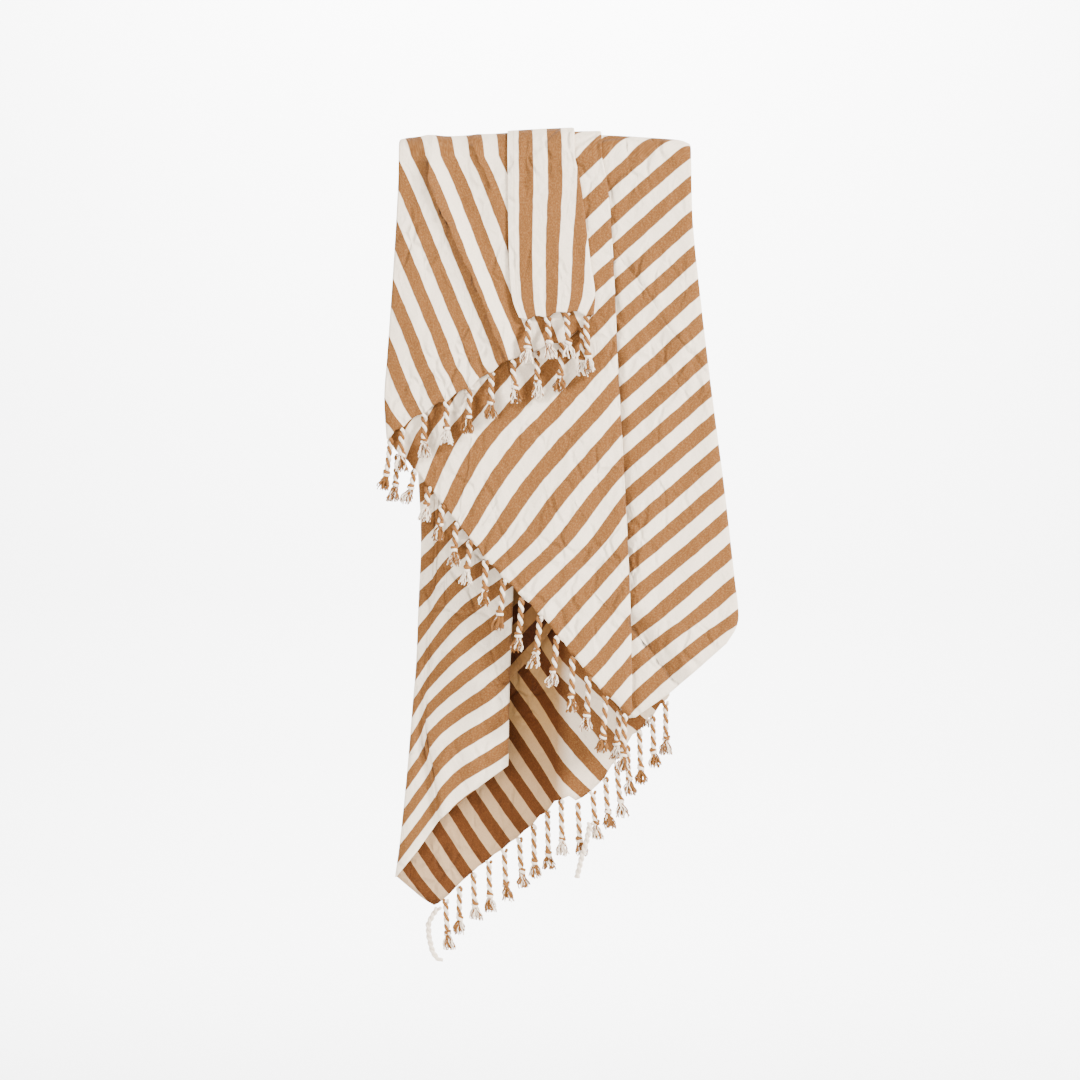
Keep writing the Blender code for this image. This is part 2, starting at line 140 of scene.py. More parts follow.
# %% The panels between the lines
# Name, layers out from the bar, the same lower down behind, what it grows by near the foot there,
# inner columns
PANEL_ROWS = [
    ("wrap", 6, 7.3, 0.0, 14),
    ("left", 5, 6.7, 0.0, 26),
    ("middle", 4, 6.1, 0.0, 36),
    ("tuck", 3, 5.5, 0.0, 1),
    ("right", 2, 4.9, 0.0, 20),
    ("under", 1, 4.2, 0.0, 36),
    ("edge", 0, 0.0, 1.1, 1),
    ("pleat", 0, 0.0, 0.55, 0),
    ("roll", 0, 0.0, 0.0, 15),
    ("return", 0, 1.6, 0.0, 0),
    ("inner", 0, 3.0, 0.0, 6),
]
PANEL_KEYS = ("name", "band", "low", "late", "columns")
PANELS = [dict(zip(PANEL_KEYS, row)) for row in PANEL_ROWS]
print(len(PANELS), "panels")

# %% [markdown]
# ## The cloth's shape
#
# `follow` draws a smooth curve through a table's rows. `surface_point` puts a point of the cloth
# at a share of its panel's width and at a drop below the bar. Near a line, the point turns
# through a quarter of an ellipse towards the next panel's band, which gives the fold its round
# edge.


# %% Curves through rows
def ease(value):
    """A smooth step from 0 to 1."""
    value = min(max(value, 0.0), 1.0)
    return value * value * (3.0 - 2.0 * value)


def follow(rows, place):
    """A smooth curve through rows of (place, value), level beyond both ends."""
    if place <= rows[0][0]:
        return rows[0][1]
    if place >= rows[-1][0]:
        return rows[-1][1]
    at = max(i for i in range(len(rows) - 1) if rows[i][0] <= place)
    low, high = rows[at], rows[at + 1]
    before = rows[max(at - 1, 0)]
    after = rows[min(at + 2, len(rows) - 1)]
    width = high[0] - low[0]
    start = (high[1] - before[1]) / (high[0] - before[0]) * width
    end = (after[1] - low[1]) / (after[0] - low[0]) * width
    t = (place - low[0]) / width
    return (low[1] * (2 * t ** 3 - 3 * t ** 2 + 1) + start * (t ** 3 - 2 * t ** 2 + t)
            + high[1] * (3 * t ** 2 - 2 * t ** 3) + end * (t ** 3 - t ** 2))


def mix_rows(rows, place):
    """The straight-line value at a place among rows of (place, value)."""
    for (start, first), (end, second) in zip(rows, rows[1:]):
        if place <= end:
            return first + (second - first) * (place - start) / (end - start)
    return rows[-1][1]


print("halfway down the middle fold:", round(follow(LINES[3][FRONT], 330), 1), "mm across")

# %% Where a panel lies
STEP_AT_BAR = 2.4 * MM
STEP_BELOW = 7.0 * MM
SPREAD_DROP = 380 * MM
LOOSE_FROM = 40 * MM
LOOSE_BY = 420 * MM
LATE_FROM = 590 * MM
LATE_BY = 680 * MM
FOLD_INSET = 2.2 * MM
MOST_INSET = 0.25
LEAST_WIDTH = 0.1 * MM


def line_across(side, line, drop):
    return follow(LINES[line][side], drop / MM) * MM


def across(side, panel, fraction, drop):
    """The place across at a share of the panel's width."""
    first = line_across(side, panel, drop)
    second = line_across(side, panel + 1, drop)
    return first + (second - first) * fraction


def band(side, panel, drop):
    """How many layers out from the bar's own layer the panel lies."""
    row = PANELS[panel]
    if side == FRONT:
        return row["band"]
    share = ease((drop - LOOSE_FROM) / (LOOSE_BY - LOOSE_FROM))
    late = row["late"] * ease((drop - LATE_FROM) / (LATE_BY - LATE_FROM))
    return row["band"] + (row["low"] - row["band"]) * share + late


def layer_step(drop):
    """How far apart the layers lie."""
    return STEP_AT_BAR + (STEP_BELOW - STEP_AT_BAR) * ease(drop / SPREAD_DROP)


def inset(side, panel, drop):
    """The share of a panel's width that turns into the fold at each side."""
    width = abs(line_across(side, panel + 1, drop) - line_across(side, panel, drop))
    return min(FOLD_INSET / max(width, LEAST_WIDTH), MOST_INSET)


print("layers are", round(layer_step(0.4) / MM, 1), "mm apart below the bar")

# %% [markdown]
# A table gives each large ridge and crease of the towel its way, height and width. The small
# crinkles of washed cotton are a smooth noise, drawn out along the cloth's length. They grow
# towards the hems and fade near the bar, where the layers lie close.

# %% Ridges and creases, in millimetres
# Side, panel, height, half width, share of that width on its left, way down as (drop, across)
RIDGES = [
    (FRONT, "left", 6.5, 15, 0.6, [(-35, -134), (28, -137), (54, -128), (84, -113), (113, -98),
                                   (161, -78), (205, -58), (238, -47)]),
    (FRONT, "left", 2.6, 9, 0.6, [(-35, -88), (10, -78), (40, -66), (80, -58)]),
    (FRONT, "left", 2.0, 14, 1.0, [(60, -170), (190, -150), (300, -120)]),
    (FRONT, "middle", 2.5, 30, 1.0, [(340, 38), (440, 12), (530, -25)]),
    (FRONT, "right", 2.0, 9, 1.0, [(90, 92), (250, 172), (420, 260)]),
    (BACK, "roll", 10.0, 38, 1.0, [(430, -100), (700, -80)]),
    (BACK, "under", 9.0, 16, 1.0, [(600, 12), (680, 14), (770, 24)]),
    (FRONT, "right", -3.0, 9, 1.0, [(520, 90), (618, 160)]),
    (FRONT, "left", -1.4, 7, 1.0, [(0, -120), (130, -60), (230, -20)]),
    (FRONT, "left", 1.2, 8, 1.0, [(0, -20), (120, 0), (205, 25)]),
    (FRONT, "middle", -1.6, 9, 1.0, [(300, 72), (480, 60), (600, 76)]),
    (FRONT, "middle", 1.4, 10, 1.0, [(330, -60), (420, -40), (470, -10)]),
    (FRONT, "wrap", 1.5, 9, 1.0, [(10, 0), (100, 6), (180, 20)]),
]
print(len(RIDGES), "ridges and creases")

# %% Ridges, creases and crinkles
RIDGE_FADE = 60
CRINKLE = 0.85 * MM
CRINKLE_BY = 70 * MM
PANEL_SHIFT = 3.1
BACK_SHIFT = 50.0
SHARPNESS = 2.2
# Each noise: how often it changes across, slanting and down, its shift and its strength
BROAD = (26, 0, 15, 0.0, 1.1)
FINE = (70, 20, 38, 9.0, 0.45)
SHARP = (34, -12, 24, 20.0, 0.5)


def ridge_height(side, panel, place, drop):
    """How far the ridges and creases of the table lift a place."""
    total = 0.0
    for on_side, name, height, half, left_share, way in RIDGES:
        if (on_side, name) != (side, PANELS[panel]["name"]):
            continue
        apart = (place - follow(way, drop / MM) * MM) / (half * MM)
        if apart < 0.0:
            apart /= left_share
        start, end = way[0][0], way[-1][0] + RIDGE_FADE
        fade = ease((drop / MM - start) / RIDGE_FADE) * ease((end - drop / MM) / RIDGE_FADE)
        total += height * MM * fade * math.exp(-apart * apart)
    return total


def crinkle(side, panel, place, drop):
    """Fine uneven creases, the same on each run."""
    shift = PANEL_SHIFT * panel + (0.0 if side == FRONT else BACK_SHIFT)
    total = 0.0
    for kind in (BROAD, FINE, SHARP):
        wide, slant, tall, more, strength = kind
        value = noise.noise(Vector((place * wide + drop * slant, drop * tall, shift + more)))
        if kind is SHARP:
            value = 1.0 - SHARPNESS * abs(value)
        total += strength * value
    return CRINKLE * total * ease(drop / CRINKLE_BY)


print("crinkle at the middle:", round(crinkle(FRONT, 2, 0.0, 0.3) / MM, 3), "mm")

# %% Points on the cloth
BAR_LAYER = 12.9 * MM
RIPPLE = 0.12
RIPPLE_LENGTH = 230 * MM
RIPPLE_BY = 90 * MM
RIPPLE_SLANT = 2.3
RIPPLE_SHIFT = 0.37
RIDGE_MARGIN = 0.125
CRINKLE_MARGIN = 0.05
# How far the folds bunched round the bar lift the top edge, as (across, lift)
CROWN = [(-175, -5), (-165, -1.5), (-150, 0), (-110, 1), (-44, 5), (0, 7.5), (60, 9.5), (90, 8.5),
         (150, 4.5), (163, 2.5), (175, -4)]


def turned(share):
    """How far the cloth has turned into a fold, at a share of the part that turns."""
    return 1.0 - math.sqrt(max(1.0 - (1.0 - share) ** 2, 0.0))


def surface_point(side, panel, fraction, drop):
    """A point in the middle of the cloth, below the bar."""
    place = across(side, panel, fraction, drop)
    margin = inset(side, panel, drop)
    own = band(side, panel, drop)
    layers = own
    for share, beside in ((fraction, panel - 1), (1.0 - fraction, panel + 1)):
        if share < margin and 0 <= beside < len(PANELS):
            layers = own + (band(side, beside, drop) - own) * 0.5 * turned(share / margin)
    inner = min(fraction, 1.0 - fraction)
    level = ease(inner / RIDGE_MARGIN)
    wave = drop / RIPPLE_LENGTH + RIPPLE_SLANT * fraction + RIPPLE_SHIFT * panel
    wave = math.sin(2 * math.pi * wave)
    forward = RIPPLE * layer_step(drop) * ease(drop / RIPPLE_BY) * wave * level
    forward += ridge_height(side, panel, place, drop) * level
    forward += crinkle(side, panel, place, drop) * ease(inner / CRINKLE_MARGIN)
    depth = BAR_LAYER + layer_step(drop) * layers
    return Vector((place, (-depth if side == FRONT else depth) - forward, -drop))


def bar_point(panel, fraction, turn):
    """A point in the middle of the cloth where it goes over the bar, by its turn from the front."""
    start = surface_point(FRONT, panel, fraction, 0.0)
    end = surface_point(BACK, panel, fraction, 0.0)
    lift = follow(CROWN, start.x / MM) * MM
    radius = -start.y + (end.y + start.y) * turn / math.pi
    return Vector((start.x, -radius * math.cos(turn), (radius + lift) * math.sin(turn)))


print("top of the cloth at", round(bar_point(0, 0.5, math.pi / 2).z / MM, 1), "mm")

# %% [markdown]
# ## The hems
#
# Each tassel gathers the threads of one stripe pair, so the cloth's edge dips to a point at each
# tassel's root and scallops upwards between them.

# %% The lower edges and the hems
LOWER_EDGES = {
    (FRONT, "wrap"): [(193, 2), (187, 25)],
    (FRONT, "left"): [(218, 30), (232, -11), (245, -45), (278, -93), (304, -140), (323, -169)],
    (FRONT, "middle"): [(354, -170), (370, -152), (416, -116), (481, -65), (548, 1), (625, 61)],
    (FRONT, "right"): [(661, 101), (630, 145), (602, 178), (569, 215)],
    (BACK, "left"): [(515, -40)],
    (BACK, "middle"): [(552, -10)],
    (BACK, "right"): [(605, 110)],
    (BACK, "under"): [(662, 128), (688, 104), (715, 86), (745, 65), (765, 41), (758, 22), (764, 14),
                      (804, -27), (849, -86), (889, -127), (879, -145)],
    (BACK, "inner"): [(614, -40), (565, 8), (380, 100)],
}
HEM_CORNER = 889
# For each panel with a hem: its stripes by their share of its length
HEMS = {
    FRONT: [("wrap", [(0.0, 0.0), (1.0, 3.8)]),
            ("left", [(0.0, 3.8), (0.93, 12.5), (1.0, 13.6)]),
            ("middle", [(0.0, 13.6), (0.35, 19.4), (1.0, 28.75)]),
            ("tuck", [(0.0, 28.75), (1.0, 30.2)])],
    BACK: [("wrap", [(0.0, 0.0), (1.0, 1.9)]),
           ("left", [(0.0, 1.9), (1.0, 5.0)]),
           ("middle", [(0.0, 5.0), (1.0, 10.2)]),
           ("tuck", [(0.0, 10.2), (1.0, 11.2)]),
           ("right", [(0.0, 11.2), (1.0, 13.1)]),
           ("under", [(0.0, 13.1), (1.0, 29.9)])],
}
print({side: len(rows) for side, rows in HEMS.items()}, "panels with a hem")

# %% Lower edges
SIDES = (FRONT, BACK)
HEM_STEPS = 80


def corner_fraction(edge):
    """The share of the width at which the under panel's hem has its corner."""
    return [spot for spot, drop in edge if drop == HEM_CORNER * MM][0]


def lower_edge(side, panel):
    """The panel's lower edge as (fraction, drop), from its first line to its second."""
    points = [LINES[panel][side][-1], LINES[panel + 1][side][-1]]
    points[1:1] = LOWER_EDGES.get((side, PANELS[panel]["name"]), [])
    edge = []
    for drop, place in points:
        first = line_across(side, panel, drop * MM)
        second = line_across(side, panel + 1, drop * MM)
        edge.append(((place * MM - first) / (second - first), drop * MM))
    return [(0.0, edge[0][1])] + edge[1:-1] + [(1.0, edge[-1][1])]


def hem_course(side, panel):
    """The panel's hem as (fraction, point, share of its length), without its scallops."""
    edge = lower_edge(side, panel)
    on_corner = side == BACK and PANELS[panel]["name"] == "under"
    end = corner_fraction(edge) if on_corner else 1.0
    course = []
    length = 0.0
    for step in range(HEM_STEPS + 1):
        fraction = end * step / HEM_STEPS
        point = surface_point(side, panel, fraction, mix_rows(edge, fraction))
        if course:
            length += (point - course[-1][1]).length
        course.append((fraction, point, length))
    return [(fraction, point, at / length) for fraction, point, at in course]


INDEX = {row["name"]: number for number, row in enumerate(PANELS)}
EDGES = {(side, panel): lower_edge(side, panel) for side in SIDES for panel in range(len(PANELS))}
HEM_STRIPES = {(side, INDEX[name]): stripes for side in SIDES for name, stripes in HEMS[side]}
COURSES = {(side, panel): hem_course(side, panel) for side, panel in HEM_STRIPES}
print(len(COURSES), "stretches of hem")

# %% Scallops
SCALLOP = 5.5 * MM
SCALLOP_POWER = 0.8
FIRST_TASSEL = 0.375


def scallop(side, panel, fraction):
    """How far the hem is drawn up at a place between two tassels."""
    course = COURSES.get((side, panel))
    if course is None or fraction > course[-1][0]:
        return 0.0
    share = mix_rows([(row[0], row[2]) for row in course], fraction)
    stripe = mix_rows(HEM_STRIPES[(side, panel)], share)
    return SCALLOP * abs(math.sin(math.pi * (stripe - FIRST_TASSEL))) ** SCALLOP_POWER


def hem_drop(side, panel, fraction):
    return mix_rows(EDGES[(side, panel)], fraction) - scallop(side, panel, fraction)


print("scallop halfway along the middle hem:", round(scallop(FRONT, 2, 0.5) / MM, 1), "mm")

# %% [markdown]
# ## The stripes
#
# `stripe_at` blends the stripe numbers of a panel's two lines. It becomes the U of the UV map, so
# the woven stripes follow every fold. V runs along the stripes.

# %% [markdown]
# The stripes on the lowest corner run the other way, so that panel has rows of its own: at each
# drop, which stripe lies at each place across.

# %% Stripes on the under panel behind the bar, in millimetres: drop, (across, stripe)
UNDER_STRIPES = [
    (0, [(-163, 10.2), (171, 14.3)]),
    (395, [(-142, 19.6), (165, 13.6)]),
    (565, [(-152, 23.6), (0, 19.0), (18, 18.4), (150, 15.6)]),
    (645, [(-157, 25.5), (0, 20.7), (18, 20.1), (145, 17.4)]),
    (760, [(-166, 28.1), (0, 23.1), (18, 22.5), (86, 21.05)]),
    (851, [(-177, 30.25), (-86, 27.5), (0, 25.3)]),
    (889, [(-170, 31.0), (-127, 29.7), (0, 26.3)]),
]
STRIPE_BULGE = {(FRONT, "middle"): 3.6, (BACK, "roll"): 1.35}
print(len(UNDER_STRIPES), "rows of stripes on the under panel")

# %% Which stripe lies where
LAST_STRIPE = 30.25
INNER_PITCH = 47 * MM
GRAIN_STEP = 10 * MM


def stripe_at(side, panel, fraction, drop):
    name = PANELS[panel]["name"]
    place = across(side, panel, fraction, drop) / MM
    if side == BACK and name == "under":
        return follow([(down, follow(at, place)) for down, at in UNDER_STRIPES], drop / MM)
    if side == BACK and name == "inner":
        edge = mix_rows(EDGES[(side, panel)], fraction)
        return LAST_STRIPE - (edge - drop) / INNER_PITCH
    first = follow(LINES[panel][side + "_stripes"], drop / MM)
    second = follow(LINES[panel + 1][side + "_stripes"], drop / MM)
    bulge = STRIPE_BULGE.get((side, name), 0.0) * fraction * (1.0 - fraction) ** 2
    return first + (second - first) * fraction + bulge


def grain(side, panel):
    """The direction along the stripes as (across, down), at the middle of a panel."""
    drop = 0.5 * mix_rows(EDGES[(side, panel)], 0.5)
    low = drop + GRAIN_STEP
    width = across(side, panel, 0.6, drop) - across(side, panel, 0.4, drop)
    by_place = (stripe_at(side, panel, 0.6, drop) - stripe_at(side, panel, 0.4, drop)) / width
    middle = across(side, panel, 0.5, drop)
    first, second = line_across(side, panel, low), line_across(side, panel + 1, low)
    lower = stripe_at(side, panel, (middle - first) / (second - first), low)
    by_drop = (lower - stripe_at(side, panel, 0.5, drop)) / GRAIN_STEP
    size = math.hypot(by_place, by_drop)
    return (by_drop / size, -by_place / size)


GRAIN = {(side, panel): grain(side, panel) for side, panel in EDGES}
print("grain of the middle panel:", tuple(round(v, 2) for v in GRAIN[(FRONT, 2)]))

# %% [markdown]
# ## The cloth's mesh
#
# A column runs from the front edge over the bar to the back edge. Each panel has even columns and
# three more at each fold for its round edge.

# %% Columns
HEM_ROUNDS = 5
FRONT_ROWS = 96
BAR_ROWS = 12
BACK_ROWS = 104
FOLD_SPOTS = (0.134, 0.5)
FOLD_COLUMNS = 2 * len(FOLD_SPOTS) + 3


def column_fraction(side, panel, step, drop):
    """The share of the panel's width that a column lies at."""
    inner = PANELS[panel]["columns"] + 2
    margin = inset(side, panel, drop)
    spots = [margin + (1.0 - 2.0 * margin) * i / (inner - 1) for i in range(inner)]
    if side == BACK and PANELS[panel]["name"] == "under":
        corner = corner_fraction(EDGES[(side, panel)])
        spots[round(corner * (inner - 1))] = corner
    near = [0.0] + [margin * spot for spot in FOLD_SPOTS]
    far = [1.0 - margin * spot for spot in reversed(FOLD_SPOTS)] + [1.0]
    return (near + spots + far)[step]


def column_bottom(side, panel, step):
    """The drop at which a column meets the hem."""
    drop = hem_drop(side, panel, 0.5)
    for _ in range(HEM_ROUNDS):
        drop = hem_drop(side, panel, column_fraction(side, panel, step, drop))
    return drop


def column_side(side, panel, step, rows):
    """The rows of a column below the bar, as (side, fraction, drop, turn)."""
    bottom = column_bottom(side, panel, step)
    drops = [bottom * row / rows for row in range(1, rows + 1)]
    return [(side, column_fraction(side, panel, step, drop), drop, 0.0) for drop in drops]


def column_rows(panel, step):
    """One column from its front edge over the bar to its back edge."""
    fraction = column_fraction(FRONT, panel, step, 0.0)
    turns = [math.pi * row / BAR_ROWS for row in range(BAR_ROWS + 1)]
    return (column_side(FRONT, panel, step, FRONT_ROWS)[::-1]
            + [("bar", fraction, 0.0, turn) for turn in turns]
            + column_side(BACK, panel, step, BACK_ROWS))


def place_point(panel, row):
    side, fraction, drop, turn = row
    if side == "bar":
        return bar_point(panel, fraction, turn)
    return surface_point(side, panel, fraction, drop)


steps = [row["columns"] + FOLD_COLUMNS for row in PANELS]
COLUMNS = [(panel, step) for panel, count in enumerate(steps) for step in range(count)]
COLUMNS.append((len(PANELS) - 1, steps[-1]))
print(len(COLUMNS), "columns of", FRONT_ROWS + BAR_ROWS + BACK_ROWS + 1, "points")

# %% The weave's coordinates
PITCH = 33.4 * MM


def weave_point(panel, row):
    """U across the stripes and V along them, in metres."""
    side, fraction, drop, turn = row
    radius = BAR_LAYER + STEP_AT_BAR * PANELS[panel]["band"]
    if side != "bar":
        u = stripe_at(side, panel, fraction, drop)
        place = across(side, panel, fraction, drop)
        down = drop if side == FRONT else -drop - math.pi * radius
        along = GRAIN[(side, panel)]
    else:
        share = turn / math.pi
        front = stripe_at(FRONT, panel, fraction, 0.0)
        u = front + (stripe_at(BACK, panel, fraction, 0.0) - front) * share
        place = across(FRONT, panel, fraction, 0.0)
        down = -turn * radius
        one, two = GRAIN[(FRONT, panel)], GRAIN[(BACK, panel)]
        along = [a + (b - a) * share for a, b in zip(one, two)]
    if side == BACK:
        along = (along[0], -along[1])
    return u * PITCH, place * along[0] + down * along[1]


print("weave at the wrap's foot:", weave_point(0, (FRONT, 0.5, 0.19, 0.0)))

# %% [markdown]
# The mesh is a plain grid of those columns. Each face takes the coordinates of its own panel, so
# the weave stays straight on both sides of a fold. The grid then gets the cloth's thickness, and
# only its front face keeps the warm shade of the deep folds.

# %% Where the cloth lies in the shade of other folds
# Each panel's shade by its drop and by its place across, in millimetres
SHADES = {
    "under": ([(560, 1.6), (620, 1.1), (680, 0.97), (760, 0.9), (889, 0.8)],
              [(-20, 1.0), (14, 1.0), (30, 0.3), (70, 0.25), (110, 0.45)]),
    "inner": ([(560, 1.9), (660, 1.5)], [(0, 1.0)]),
    "return": ([(560, 1.6)], [(0, 1.0)]),
}


def shade_at(panel, row):
    """How much warm shade a point has: 1 in deep folds, up to 2 in the innermost one."""
    side, fraction, drop, _ = row
    name = PANELS[panel]["name"]
    if side != BACK or name not in SHADES:
        return 0.0
    places = (drop / MM, across(BACK, panel, fraction, drop) / MM)
    down, beside = [mix_rows(rows, max(place, rows[0][0]))
                    for rows, place in zip(SHADES[name], places)]
    return beside * down


print("shade inside the lowest corner:", shade_at(5, (BACK, 0.6, 0.8, 0.0)))


# %% Helpers for objects
def add_object(name, data):
    """An object at the origin, linked to the scene."""
    made = bpy.data.objects.new(name, data)
    bpy.context.scene.collection.objects.link(made)
    return made


def apply_modifier(item, modifier):
    """Makes the modifier's result the object's own plain mesh."""
    graph = bpy.context.evaluated_depsgraph_get()
    item_now = item.evaluated_get(graph)
    made = bpy.data.meshes.new_from_object(item_now, preserve_all_data_layers=True, depsgraph=graph)
    item.modifiers.remove(modifier)
    item.data = made


def add_values(mesh, name, values):
    """Gives each point of a mesh a number."""
    mesh.attributes.new(name, "FLOAT", "POINT").data.foreach_set("value", values)


print("helpers ready")

# %% The cloth's middle surface
rows_of = [column_rows(panel, step) for panel, step in COLUMNS]
tall = len(rows_of[0])
spots = [(panel, row) for (panel, _), rows in zip(COLUMNS, rows_of) for row in rows]
points = [place_point(panel, row) for panel, row in spots]
faces = []
face_uvs = []
for column, (panel, step) in enumerate(COLUMNS[:-1]):
    last = column_rows(panel, steps[panel]) if step == steps[panel] - 1 else rows_of[column + 1]
    first_uvs = [weave_point(panel, row) for row in rows_of[column]]
    second_uvs = [weave_point(panel, row) for row in last]
    for row in range(tall - 1):
        a = column * tall + row
        faces.append((a, a + tall, a + tall + 1, a + 1))
        face_uvs += [first_uvs[row], second_uvs[row], second_uvs[row + 1], first_uvs[row + 1]]
mesh = bpy.data.meshes.new("cloth")
mesh.from_pydata(points, [], faces)
layer = mesh.uv_layers.new(name="weave")
for loop, uv in zip(layer.uv, face_uvs):
    loop.vector = uv
mesh.polygons.foreach_set("use_smooth", [True] * len(mesh.polygons))
add_values(mesh, "shade", [shade_at(panel, row) for panel, row in spots])
cloth = add_object("striped_cloth", mesh)
print(len(faces), "faces in the middle surface")

# %% The cloth's thickness
CLOTH = 1.1 * MM
wall = cloth.modifiers.new("thickness", "SOLIDIFY")
wall.thickness = CLOTH
wall.offset = 0.0
apply_modifier(cloth, wall)
count = len(points)
corners = cloth.data.vertices
shades = [0.0] * len(corners)
cloth.data.attributes["shade"].data.foreach_get("value", shades)
for first, second in zip(range(count), range(count, 2 * count)):
    rear = first if corners[first].co.y > corners[second].co.y else second
    shades[rear] = 0.0
cloth.data.attributes["shade"].data.foreach_set("value", shades)
print(len(cloth.data.polygons), "faces in the thick cloth")

# %% [markdown]
# ## The fringe
#
# Geometry Nodes make every tassel. The tree takes one polyline a cord and one loose point a
# knot. Two plies are wound round each line, a coil stands for the knot, and loose threads make
# the tuft. The numbers are named inputs with fixed seeds.

# %% Tassels: sizes in metres
TASSEL_LENGTH = 69 * MM
STAND_OFF_BY = 12 * MM
FOLD_CLEARANCE = 6.5 * MM
HEM_DEPTH = 4 * MM
print("tassels", TASSEL_LENGTH, "m long")

# %% Tassels: tables in millimetres
# How far in front of its layer each panel's tassels hang
STAND_OFF = {
    FRONT: {"wrap": 10.0, "left": 7.0, "middle": 2.4, "tuck": -6.5},
    BACK: {"wrap": -15.0, "left": -4.0, "middle": -3.5, "tuck": -3.0, "right": -3.5, "under": 5.4},
}
# Each tassel's lean to the right, its knot's distance below the hem and its tuft's share of tan
LEANS = {
    FRONT: [-3, 7, 5, 5, -2, -4, 2, 6, -1, -5, -1, 2, -1, -10, -8, -24, -10, -12, -4, -9, -5, -10, -7,
            -10, -8, -1, -4, -6, -2, -6],
    BACK: [0, 0, -6, 0, 1, 0, -2, 0, 8, 2, 0, 0, 0, 0, 3, 2, 4, 8, 6, 8, 5, 2, 2, 2, 6, 5, 3, 5, -1, 6],
}
KNOTS = {
    FRONT: [28, 25, 30, 42, 33, 34, 32, 28, 30, 30, 28, 28, 27, 38, 32, 17, 17, 19, 27, 29, 30, 36,
            40, 38, 36, 42, 40, 43, 44, 40],
    BACK: [40] * 14 + [38, 41, 36, 44, 38, 34, 40, 44, 46, 40, 36, 38, 37, 33, 34, 36],
}
TUFT_TAN = {
    FRONT: [0.1, 0.2, 0.2, 0.4, 0.3, 0.9, 0.35, 0.65, 0.9, 0.85, 0.1, 0.5, 0.6, 0.85, 0.85, 0.4, 0.5,
            0.85, 0.4, 0.15, 0.6, 0.95, 0.5, 0.65, 0.4, 0.7, 0.5, 0.8, 0.6, 0.5],
    BACK: [0.5] * 13 + [0.6, 0.8, 0.9, 0.7, 0.6, 0.85, 0.3, 0.85, 0.2, 0.9, 0.5, 0.7, 0.85, 0.6, 0.5,
                        0.7, 0.5],
}
print(len(LEANS[FRONT]), "tassels in front and", len(LEANS[BACK]), "behind")

# %% Where the tassels start
TASSELS = 30


def tassel_roots(side):
    """Each tassel's root on the hem: (panel, tassel, point)."""
    roots = []
    for name, rows in HEMS[side]:
        panel = INDEX[name]
        course = COURSES[(side, panel)]
        length = sum((b[1] - a[1]).length for a, b in zip(course, course[1:]))
        clear = FOLD_CLEARANCE / length
        for tassel in range(TASSELS):
            stripe = FIRST_TASSEL + tassel
            if not rows[0][1] <= stripe < rows[-1][1]:
                continue
            share = mix_rows([(at, share) for share, at in rows], stripe)
            share = min(max(share, clear), 1.0 - clear)
            fraction = mix_rows([(at, spot) for spot, _, at in course], share)
            drop = mix_rows(EDGES[(side, panel)], fraction)
            roots.append((name, tassel, surface_point(side, panel, fraction, drop)))
    return roots


def tassel_point(side, panel, tassel, root, distance):
    """A point of the tassel's middle line, at a distance below the hem."""
    fall = max(distance, 0.0) / TASSEL_LENGTH
    lean = LEANS[side][tassel] * MM * fall * (0.5 + 0.5 * fall)
    forward = STAND_OFF[side][panel] * MM * ease(distance / STAND_OFF_BY)
    return root + Vector((lean, -forward, -HEM_DEPTH - distance))


ROOTS = {side: tassel_roots(side) for side in SIDES}
print({side: len(rows) for side, rows in ROOTS.items()}, "tassels placed")

# %% [markdown]
# Some threads hang loose at the lowest corner. They are cream cords without a knot of their own:
# a list of places in millimetres, as (across, drop), and how far in front of the hem they hang.

# %% Loose cords and the base mesh
CORD_START = 5 * MM
CORD_POINTS = 12
KNOT_AIM = 20 * MM
LOOSE_CORDS = {
    FRONT: [],
    BACK: [(9, [(-127, 888), (-134, 897), (-139, 908), (-138, 923), (-134, 940), (-128, 949),
                (-122, 950)]),
           (16, [(54, 786), (50, 806), (44, 826), (38, 851)])],
}


def base_mesh(side):
    """One polyline for each cord, and a loose point for each knot."""
    rows = []
    edges = []

    def add_cord(way, plain):
        """Points of a cord: place, knot, plain, tan and heading."""
        edges.extend((len(rows) + i, len(rows) + i + 1) for i in range(len(way) - 1))
        rows.extend([(point, 0.0, plain, 0.0, Vector()) for point in way])

    for panel, tassel, root in ROOTS[side]:
        reach = KNOTS[side][tassel] * MM
        downs = [-CORD_START + (reach + CORD_START) * i / (CORD_POINTS - 1)
                 for i in range(CORD_POINTS)]
        add_cord([tassel_point(side, panel, tassel, root, down) for down in downs], 0.0)
        end = tassel_point(side, panel, tassel, root, reach)
        fall = tassel_point(side, panel, tassel, root, reach + KNOT_AIM) - end
        rows.append((end, 1.0, 0.0, TUFT_TAN[side][tassel], fall))
    hem_depth = ROOTS[side][-1][2].y
    for ahead, way in LOOSE_CORDS[side]:
        add_cord([Vector((place * MM, hem_depth - ahead * MM, -drop * MM)) for place, drop in way], 1.0)
    points, knot, plain, tan, headings = zip(*rows)
    base = bpy.data.meshes.new("cords")
    base.from_pydata(points, edges, [])
    add_values(base, "knot", knot)
    add_values(base, "plain", plain)
    add_values(base, "tan", tan)
    flat = [value for heading in headings for value in heading]
    base.attributes.new("heading", "FLOAT_VECTOR", "POINT").data.foreach_set("vector", flat)
    return base


bases = {side: base_mesh(side) for side in SIDES}
print({side: len(base.vertices) for side, base in bases.items()}, "points")

# %% [markdown]
# ### Node trees
#
# `Tree` keeps the node trees readable. Each of its methods adds nodes and gives an output, and a
# socket takes a value or another node's output.


